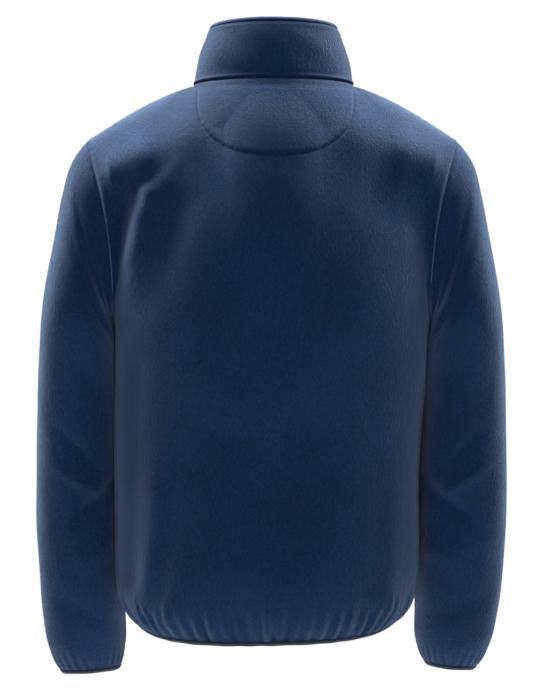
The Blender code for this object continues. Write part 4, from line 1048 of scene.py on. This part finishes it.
# Outer layer of the collar: its surface moved out by a ridge over the neck seam, puckers
# along it, a dip at the top and slow unevenness.
def makeCollar():
    turn, h = np.meshgrid(collarTurns, stations(collar["rows"], *collar["rowSpread"]))
    p = collarSurface(turn, h)
    left, right, low, high = edgeDistances(p)
    height = -zipDip(np.minimum(left, right))
    for reliefs, distance in ((collar["fromSeam"], low), (collar["fromTop"], high)):
        for at, wide, tall in reliefs:
            height += tall * bell(distance - at, wide)
    wave = np.sin(left / collar["puckerLong"] + np.sin(left / collar["puckerDrift"]))
    bySeam = bell(low - collar["puckerFrom"], collar["puckerFrom"])
    height += collar["pucker"] * wave * bySeam
    slow = unevenWaves(*np.array([left, low]) * collar["slowStretch"], collar["slowLong"], 9)
    fade = fadeIn(low, collar["slowFade"]) * fadeIn(high, collar["slowFade"])
    height += collar["slowDeep"] * slow * fade
    outer = p + gridNormals(p) * height[..., None]
    near = easeStep(-low, -collar["turnWide"], 0)[..., None]
    away = unit(collarOut(turn) * (1 - near) + neckNormal(turn) * near)
    inner = outer - away * form["cloth"]
    outer, inner = (
        drawIn(grid, top=False, left=False, right=False) for grid in (outer, inner[::2, ::2])
    )
    obj = clothWall("collarCloth", outer, inner, fleeceCloth)
    return finishPiece(obj, "fleece", "collar"), outer


# The collar's inner layer: up the inside, over the top in half a squared circle, and a
# short lip under the roll.
def makeFacing():
    turn, gap = collarTurns, form["gap"]
    out = collarOut(turn)
    rows = [
        collarSurface(turn, h + 0 * turn)
        for h in np.linspace(collar["facingFoot"], 1, collar["facingRows"])
    ]
    top = rows[-1]
    up = unit(top - collarSurface(turn, 0.5 + 0 * turn))
    inside = collar["facingIn"] + collar["facing"]
    half = (inside + collar["rollOut"]) / 2
    wave = unevenWaves(np.degrees(turn) * collar["rollStretch"], 0 * turn, collar["rollLong"], 3)
    rise = collar["rollHigh"] - collar["rollFoot"] + collar["rollUneven"] * wave
    roll = []
    for angle in np.linspace(math.pi, 0, collar["rollSteps"])[1:]:
        c, n = math.cos(angle), math.sin(angle)
        x = half - inside + half * math.copysign(abs(c) ** collar["rollSquare"], c)
        z = collar["rollFoot"] + rise * abs(n) ** collar["rollSquare"]
        roll.append(top + out * x + up * z[:, None])
    lip = [top - out * x + up * gap for x in (collar["lip"], collar["lipIn"], collar["facingIn"])]
    inner = [row - out * inside for row in rows]
    outer = [row - out * collar["facingIn"] for row in rows[::-3]]
    sections = np.array(inner + roll + lip + outer).transpose(1, 0, 2)
    obj = sweepBar("collarFacingCloth", sections, fleeceCloth, sharp=75)
    return finishPiece(obj, "fleece", "collar_facing")


collarTurns = stations(collar["columns"], *collar["columnSpread"])
collarCloth, collarGrid = makeCollar()
facingCloth = makeFacing()
print("collar ready")


# Half moon inside the back neck, sewn to the back along its U.
moonPatch = {
    "drop": 0.27, "top": 0.02, "wide": 0.985, "cloth": 1.3, "in": 3.9, "edge": 0.5,
    "edgeFrom": 3.0, "edgeWide": 1.5, "corner": 0.004, "step": 0.002, "columns": 96, "rows": 40,
}


# The back with its folds, moved out along the cross product of small steps up and across.
def backWithFolds(s, v):
    p, step = plainPanel(s, v, 1), moonPatch["step"]
    across = plainPanel(s + step, v, 1) - plainPanel(s - step, v, 1)
    up = plainPanel(s, v + step, 1) - plainPanel(s, v - step, 1)
    height = foldHeight(backFolds, p[..., 0], p[..., 2]) * fadeIn(1 - v, panel["seamFade"])
    return p + unit(np.cross(up, across)) * height[..., None]


# Patch on the back's inner side, from its top edge down to the U, with a raised hem.
def makeMoonPatch():
    share = np.linspace(-1, 1, moonPatch["columns"] + 1) * moonPatch["wide"]
    t = np.linspace(0, 1, moonPatch["rows"] + 1)[:, None]
    high = 1 - moonPatch["top"]
    bowed = np.sqrt(np.maximum(1 - np.abs(share) ** moon["power"], moonPatch["corner"]))
    low = high - moonPatch["top"] / 2 - moonPatch["drop"] * bowed
    v = low + (high - low) * t
    p = backWithFolds(share * form["neckShare"] + 0 * v, v)
    out = gridNormals(p)
    edge = np.min(edgeDistances(p), axis=0)
    raised = moonPatch["edge"] * bell(edge - moonPatch["edgeFrom"], moonPatch["edgeWide"])
    p = p - out * (moonPatch["in"] + raised)[..., None]
    # The patch uses the darker fleece: painted shade for its place inside the jacket.
    obj = clothWall("halfMoonCloth", p, (p - out * moonPatch["cloth"])[::2, ::2], fleeceShadedInside)
    return finishPiece(obj, "fleece", "half_moon_patch")


moonCloth = makeMoonPatch()
print("half moon ready")


# Elastic bindings: a folded band round the raw edge, thickest a third of the way down. The
# section's depths are in millimetres of a band 7 high, its widths in half its thickness.
binding = {
    "tall": 7.0, "thick": 3.4, "hemSteps": 720, "cuffSteps": 200, "loose": 0.04, "looseLong": 5.3,
    "looseDrift": 17, "above": 0.01,
    "depths": [0.15, 0.35, 1.0, 2.1, 3.6, 5.0, 6.1, 6.75], "drawnTall": 7.0,
    "widths": [0.3, 0.75, 0.92, 1.0, 0.98, 0.86, 0.62, 0.2],
}


# Section of a binding from the cloth's outer side round its lower edge to the inner side:
# pairs of how far out of the cloth and how far down.
def bindingSection():
    outward = np.array(binding["widths"]) * binding["thick"] / 2
    down = np.array(binding["depths"]) * binding["tall"] / binding["drawnTall"]
    half = np.stack([outward, down], -1)
    section = np.concatenate([half, [[0, binding["tall"]]], half[::-1] * (-1, 1)])
    return section - (form["cloth"] / 2, 0)


# Binding along an edge: its section carried along, a little looser and tighter in turn.
def makeBinding(name, p, out, down, closed, node):
    shape, arc = bindingSection(), walked(p)
    loose = np.sin(arc / binding["looseLong"] + np.sin(arc / binding["looseDrift"]))
    loose = 1 + binding["loose"] * loose
    sections = (
        p[:, None]
        + out[:, None] * shape[:, :1] * loose[:, None, None]
        + down[:, None] * shape[:, 1:] * (2 - loose)[:, None, None]
    )
    pattern = np.stack(np.broadcast_arrays(arc[:, None], walked(shape)), -1) * mm
    obj = sweepBar(name, sections, bindingKnit, closed, pattern, sharp=80)
    return finishPiece(obj, "elastic", node)


# Line of the hem from the left front's zip edge round the back to the right front's, with
# its directions out and down.
def hemLine():
    quarter = binding["hemSteps"] // 4
    share = np.linspace(0, 1, quarter + 1)
    share[0] = frontColumns[0]
    rear = np.linspace(1, -1, 2 * quarter + 1)
    rows = [(share[:-1], -1), (rear[:-1], 1), (-share[::-1], -1)]
    line, above = (
        np.concatenate([plainPanel(s, v + 0 * s, face) for s, face in rows])
        for v in (-1, binding["above"] - 1)
    )
    down = unit(line - above)
    out = unit(np.cross(np.gradient(line, axis=0), down))
    return line, out * np.sign(out[len(out) // 2, 1]), down


# Line of a cuff, with its directions out and down.
def cuffLine(side):
    s = sleeveTurns(binding["cuffSteps"])
    last = sleeve["cuffEdge"] / sleeveRings["along"][-1]
    line, above = (sleeveSurface(s, v + 0 * s, side) for v in (last, last - binding["above"]))
    down = unit(line - above)
    across = np.roll(line, -1, 0) - np.roll(line, 1, 0)
    return line, unit(np.cross(down, across)) * side, down


# Names of each binding, its node and its stitches, its line and whether that closes.
boundEdges = [
    ("hemBindingKnit", "hem_binding", "hemStitches", hemLine(), False),
    ("cuffLeftKnit", "cuff_binding_left", "cuffStitchesLeft", cuffLine(1), True),
    ("cuffRightKnit", "cuff_binding_right", "cuffStitchesRight", cuffLine(-1), True),
]
for name, node, _, line, closed in boundEdges:
    makeBinding(name, *line, closed, node)
print("bindings ready")


# Zip: "in" is measured in from the cloth's outer side. Places across the tape are measured
# from its inner edge, from the cloth's edge or from its outer edge. A tooth's outline is x
# across and z along, and each of its layers is a share of its thickness and a bevel.
zipper = {
    "tapeIn": 2.5, "tapeThick": 0.9, "tapeInner": 1.2, "tapeOuter": 14.5, "tapeFoot": 1.5,
    "tapeTop": 0.6, "tailFoot": -6.0, "tailOuter": 6.2, "tailGap": 0.3, "tailSteps": 6,
    "tapeSteps": 360, "cordPlaces": [0.25, 0.9, 1.7], "flatPlaces": [8, 11], "hemPlace": 0.5,
    "cord": [0.0, 0.32, 0.0, 0.0, 0.0, 0.0, 0.0, -0.25], "cordRear": 0.6, "bendFrom": 1.0,
    "sliderBelowTop": 17.0, "chainToSlider": 6.5, "pitch": 2.6, "boxHigh": 7.6,
    "toothIn": 1.2, "toothThick": 2.7, "toothNeck": 1.7, "turns": ((1, 0.25), (-1, 0.75)),
    "toothX": [4.4, 4.4, 1.7, 0.6, -0.5, -0.95, -0.5, 0.6, 1.7],
    "toothZ": [-0.62, 0.62, 0.42, 0.74, 0.62, 0.0, -0.62, -0.74, -0.42],
    "toothLayers": ((0, 0.22), (0.25, 0), (0.75, 0), (1, 0.22)),
    "rows": 420, "collarRows": 40, "besideShare": 1 / 16, "besideTurn": 1 / 12,
}


# Places up the centre front on the cloth's outer side, the outward direction there, and how
# far the cloth falls back between the zip edge and the tape's outer edge.
def zipLine():
    share, rows = zipper["besideShare"], np.linspace(-1, 1, zipper["rows"] + 1)
    s, v = np.meshgrid([frontColumns[0], share], rows)
    front = [plainPanel(s * side, v, -1) for side in (1, -1)]
    turn, h = np.meshgrid(
        [math.pi, math.pi * (1 - zipper["besideTurn"])],
        np.linspace(0, 1, zipper["collarRows"] + 1)[1:],
    )
    rise = [collarSurface(turn * side, h) for side in (1, -1)]
    left, right = (np.concatenate([a, b]) for a, b in zip(front, rise))
    places, beside = ((left + right) / 2).transpose(1, 0, 2)
    spread = (left[:, 1, 0] - right[:, 1, 0]) / 2 - form["zipEdge"]
    out = unit(np.cross(np.gradient(places, axis=0), (1, 0, 0)))
    out = out * -np.sign(out[:1, 1:2])
    fall = np.maximum(np.sum((places - beside) * out, -1), 0) / spread
    return places, out, fall * (zipper["tapeOuter"] - form["zipEdge"])


# Woven tape behind a front's edge: a flat section with a corded edge by the teeth. Below its
# foot a narrow tail, as wide as slim times the tape, runs on beside the zip's box.
def makeTape(name, side, places, out, fall, node):
    arc, edge = walked(places), form["zipEdge"]
    low, high = zipper["tapeFoot"], arc[-1] - zipper["tapeTop"]
    tail = np.linspace(zipper["tailFoot"], low - zipper["tailGap"], zipper["tailSteps"])
    at = np.concatenate([tail, np.linspace(low, high, zipper["tapeSteps"])])
    p, n, drop = readLine(at, arc, places), readLine(at, arc, out), np.interp(at, arc, fall)
    p = p + np.minimum(at, 0)[:, None] * unit(places[1] - places[0])
    near, far = zipper["tapeInner"], zipper["tapeOuter"]
    x = [near + place for place in zipper["cordPlaces"]] + [edge - zipper["bendFrom"]]
    x = np.array(x + zipper["flatPlaces"] + [far - zipper["hemPlace"], far])
    slim = (zipper["tailOuter"] - near) / (far - near)
    x = near + (x - near) * np.where(at < low, slim, 1)[:, None]
    bend = fadeIn(x - edge + zipper["bendFrom"], far - edge + zipper["bendFrom"]) * drop[:, None]
    cord = np.array(zipper["cord"])
    faceY = zipper["tapeIn"] - cord + bend
    rearY = zipper["tapeIn"] + zipper["tapeThick"] + cord * zipper["cordRear"] + bend
    x = np.concatenate([x, x[:, ::-1]], 1)
    y = np.concatenate([faceY, rearY[:, ::-1]], 1)
    sections = p[:, None] + np.array([side, 0, 0]) * x[..., None] - n[:, None] * y[..., None]
    pattern = np.stack(np.broadcast_arrays(at[:, None], x), -1) * mm
    return finishPiece(sweepBar(name, sections, tapeWeave, False, pattern), "zip_tape", node)


# Moulded teeth of both sides, which lock in turn: a foot over the tape's cord, a narrow
# neck and a round head past the middle, with bevelled faces.
def makeTeeth(places, out):
    arc, pitch, neckX = walked(places), zipper["pitch"], zipper["toothNeck"]
    end = arc[-1] - zipper["sliderBelowTop"] + zipper["chainToSlider"]
    count = int((end - zipper["boxHigh"]) / pitch)
    x, z = np.array(zipper["toothX"]), np.array(zipper["toothZ"])
    rings = []
    for deep, inset in zipper["toothLayers"]:
        y = zipper["toothIn"] + zipper["toothThick"] * deep
        rings.append(np.stack([x - inset * np.sign(x - neckX), y + 0 * x, z * (1 - inset)], -1))
    shape, corners = np.concatenate(rings), len(x)
    one = np.array(gridFaces(len(rings), corners, 0, True))
    caps = np.array([range(corners), range(len(shape) - 1, len(shape) - corners - 1, -1)])
    points, faces = [], []
    for side, shift in zipper["turns"]:
        at = zipper["boxHigh"] + (np.arange(count) + shift) * pitch
        p, n = readLine(at, arc, places), unit(readLine(at, arc, out))
        ahead = unit(np.cross(n, (1, 0, 0)))
        ahead = ahead * np.sign(ahead[:, 2:])
        tooth = (
            p[:, None]
            + np.array([side, 0, 0]) * shape[:, :1]
            - n[:, None] * shape[:, 1:2]
            + ahead[:, None] * shape[:, 2:]
        )
        base = ((len(points) * count + np.arange(count)) * len(shape))[:, None, None]
        faces += (one[:, ::side] + base).reshape(-1, 4).tolist()
        faces += (caps[:, ::side] + base).reshape(-1, corners).tolist()
        points.append(tooth.reshape(-1, 3))
    obj = makeMesh("zipTeeth", np.concatenate(points), faces, zipPlastic, sharp=40)
    return finishPiece(obj, "zip_teeth", "zip_chain")


# Doubles are merged in metres, and faces and edges are told apart in degrees.
rounding = {"merge": 1e-6, "flatUpTo": 2, "edgeFrom": 30, "segments": 3}


# Rounded copy of a hard part: its doubles merged, its flat faces joined, its edges bevelled.
def roundedCopy(name, node, material, width, body):
    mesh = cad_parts[node].data.copy()
    mesh.name = name
    bm = bmesh.new()
    bm.from_mesh(mesh)
    bmesh.ops.remove_doubles(bm, verts=bm.verts, dist=rounding["merge"])
    flat = math.radians(rounding["flatUpTo"])
    bmesh.ops.dissolve_limit(bm, angle_limit=flat, verts=bm.verts, edges=bm.edges)
    bm.to_mesh(mesh)
    bm.free()
    mesh.materials.clear()
    mesh.materials.append(material)
    mesh.shade_smooth()
    obj = bpy.data.objects.new(name, mesh)
    bpy.context.scene.collection.objects.link(obj)
    bevel = obj.modifiers.new("roundEdges", "BEVEL")
    bevel.width = width * mm
    bevel.segments = rounding["segments"]
    bevel.limit_method = "ANGLE"
    bevel.angle_limit = math.radians(rounding["edgeFrom"])
    bevel.harden_normals = True
    return finishPiece(obj, "zip_metal", node, body=body)


zipPlaces, zipOut, zipFall = zipLine()
makeTape("zipTapeLeft", 1, zipPlaces, zipOut, zipFall, "zip_tape_left")
makeTape("zipTapeRight", -1, zipPlaces, zipOut, zipFall, "zip_tape_right")
makeTeeth(zipPlaces, zipOut)
for name, node, material, width, body in (
    ("zipSliderBody", "zip_slider", zipMetal, 0.3, jacketBody),
    ("zipPullTab", "zip_pull_tab", zipMetal, 0.3, pullBody),
    ("zipBoxBody", "zip_box", zipPlastic, 0.4, jacketBody),
    ("zipStopLeft", "zip_stop_left", zipMetal, 0.25, jacketBody),
    ("zipStopRight", "zip_stop_right", zipMetal, 0.25, jacketBody),
):
    roundedCopy(name, node, material, width, body)
print("zip ready")


# Line on a grid that stays a distance from one of its side edges: in each row, the place
# where the width from that edge reaches the distance.
def besideEdge(grid, distance, last):
    rows = grid[:, ::-1] if last else grid
    width = walked(rows, 1)
    j = np.argmax(width >= distance, axis=1)
    i = np.arange(len(rows))
    t = ((distance - width[i, j - 1]) / (width[i, j] - width[i, j - 1]))[:, None]
    return rows[i, j - 1] * (1 - t) + rows[i, j] * t


# The half moon's U: F = 1, carried on to the cloth by each nearest point's own plane.
def moonLine():
    turn = np.linspace(moon["lineEnd"], math.pi - moon["lineEnd"], moon["linePoints"])
    across = np.sign(np.cos(turn)) * np.abs(np.cos(turn)) ** (2 / moon["power"])
    x = moon["x"] + moon["half"] * across
    z = moon["z"] - moon["deep"] * np.sin(turn) ** (2 / moon["power"])
    flat, out = backGrid.reshape(-1, 3), gridNormals(backGrid).reshape(-1, 3)
    near = [int(np.argmin((flat[:, 0] - a) ** 2 + (flat[:, 2] - b) ** 2)) for a, b in zip(x, z)]
    p, n = flat[near], out[near]
    y = p[:, 1] - ((x - p[:, 0]) * n[:, 0] + (z - p[:, 2]) * n[:, 2]) / n[:, 1]
    return np.stack([x, y, z], -1), n


# Stitch row on a line across a finished grid of cloth or along a binding.
def sewRow(name, line, out, size, material, slotName="fleece"):
    finishPiece(stitchRow(name, line, unit(out), material, stitch[size]), slotName)


# The half moon's and the neck seam's rows use the darker thread, partly painted shade for the
# shadow line of their grooves.
sewRow("halfMoonStitches", *moonLine(), "seam", shadeLineThread)
neckColumns = np.abs(backColumns) < form["neckShare"] * 0.99
neckOut = neckNormal(backColumns[neckColumns] / form["neckShare"] * math.pi / 2)
sewRow("neckSeamStitches", backGrid[-3, neckColumns], neckOut, "seam", shadeLineThread)
for name, grid, last, sign in (
    ("zipStitchesLeft", frontLeftGrid, False, -1), ("zipStitchesRight", frontRightGrid, True, -1),
    ("collarStitchesLeft", collarGrid, True, 1), ("collarStitchesRight", collarGrid, False, 1),
):
    column = stitch["besideColumn"] * (-1 if last else 1)
    beside = gridNormals(grid, sign=sign)[:, column]
    sewRow(name, besideEdge(grid, zipSeam["row"], last), beside, "edge", navyThread)
for _, _, name, (line, out, down), _ in boundEdges:
    row = line + down * stitch["bindingHigh"] + out * (binding["thick"] - form["cloth"]) / 2
    sewRow(name, row, out, "edge", blackThread, "elastic")
print("stitches ready")


# Flat sizes of the cut cloth in metres, seam to seam, and its area in square metres.
cuts = {
    "backCloth": ((0.585, 0.71), 0.348), "frontLeftCloth": ((0.285, 0.70), 0.166),
    "frontRightCloth": ((0.285, 0.70), 0.165), "sleeveLeftCloth": ((0.43, 0.66), 0.209),
    "sleeveRightCloth": ((0.43, 0.66), 0.21), "collarCloth": ((0.545, 0.078), 0.04),
    "collarFacingCloth": ((0.53, 0.08), 0.038), "halfMoonCloth": ((0.205, 0.1), 0.0165),
}
for cloth in (
    backCloth, frontLeft, frontRight, sleeveLeft, sleeveRight, collarCloth, facingCloth, moonCloth
):
    size, area = cuts[cloth.name]


studio = {
    "seen": 0.8625, "distance": 2.8, "lookAt": (0.00125, 0.0, -0.319), "sensor": 24,
    "floor": -1.5, "floorFade": (1.8, 3.6), "floorSides": 96, "floorGrey": (0.9, 0.93),
    "air": (1.0, 1.0, 1.0, 1), "airSeen": 1.0, "airLight": 0.02,
    "boxes": [
        ("boxOverLeft", (1.15, -0.7, 1.9), (1.0, 1.0), 390),
        ("boxOverRight", (-1.15, -0.7, 1.9), (1.0, 1.0), 345),
        ("boxNearLeft", (0.9, 2.1, 1.3), (1.4, 1.4), 20),
        ("boxNearRight", (-0.9, 2.1, 1.3), (1.4, 1.4), 28),
        ("boxLow", (0, 2.2, -1.2), (1.4, 0.5), 4),
    ],
}


# Camera level with its aim, whose height of view there is the size seen.
def addCamera():
    data = bpy.data.cameras.new("camera")
    data.sensor_fit = "VERTICAL"
    data.sensor_height = studio["sensor"]
    data.lens = data.sensor_height * studio["distance"] / studio["seen"]
    camera = bpy.data.objects.new("camera", data)
    camera.location = Vector(studio["lookAt"]) + Vector((0, studio["distance"], 0))
    camera.rotation_euler = (math.pi / 2, 0, math.pi)
    bpy.context.scene.collection.objects.link(camera)
    bpy.context.scene.camera = camera


# Soft box at a place, turned towards the jacket's middle.
def addLight(name, place, size, power):
    data = bpy.data.lights.new(name, "AREA")
    data.shape = "RECTANGLE"
    data.size, data.size_y = size
    data.energy = power
    light = bpy.data.objects.new(name, data)
    light.location = place
    towards = Vector(studio["lookAt"]) - Vector(place)
    light.rotation_euler = towards.to_track_quat("-Z", "Y").to_euler()
    bpy.context.scene.collection.objects.link(light)


# Round floor far below the hem, which fades out towards its rim.
def addFloor():
    mat, tree = newMaterial("paleFloor")
    place, (inner, outer) = objectPlace(tree), studio["floorFade"]
    greys = [(grey, grey, grey, 1) for grey in studio["floorGrey"]]
    away = addNode(tree, "ShaderNodeVectorMath", {"operation": "LENGTH"}, _0=place)
    seen = addNode(
        tree, "ShaderNodeMapRange", {"interpolation_type": "SMOOTHSTEP"}, Value=away.outputs[1],
        From_Min=inner, From_Max=outer, To_Min=1.0, To_Max=0.0,
    )
    setSurface(
        mat, Base_Color=blend(tree, noise(tree, place, 3.0), *greys), Alpha=seen.outputs[0],
        Roughness=0.9, Specular_IOR_Level=0.1,
    )
    turn = np.arange(studio["floorSides"]) * 2 * math.pi / studio["floorSides"]
    rim = np.stack([np.cos(turn) * outer, np.sin(turn) * outer, studio["floor"] + 0 * turn], -1)
    makeMesh("floor", rim / mm, [list(range(studio["floorSides"]))], mat)


# White all round where it is seen, and weaker where it lights.
def addAir():
    world = bpy.data.worlds.new("studioAir")
    world.use_nodes = True
    tree = world.node_tree
    weak = tree.nodes["Background"]
    setInputs(weak, Color=studio["air"], Strength=studio["airLight"])
    strong = addNode(
        tree, "ShaderNodeBackground", Color=studio["air"], Strength=studio["airSeen"]
    )
    path = tree.nodes.new("ShaderNodeLightPath")
    mix = addNode(
        tree, "ShaderNodeMixShader", _0=path.outputs["Is Camera Ray"],
        _1=weak.outputs[0], _2=strong.outputs[0],
    )
    setInputs(tree.nodes["World Output"], Surface=mix.outputs[0])
    bpy.context.scene.world = world


addCamera()
addAir()
addFloor()
for name, place, size, power in studio["boxes"]:
    addLight(name, place, size, power)
bpy.context.scene.view_settings.view_transform = "Standard"
print("studio ready")
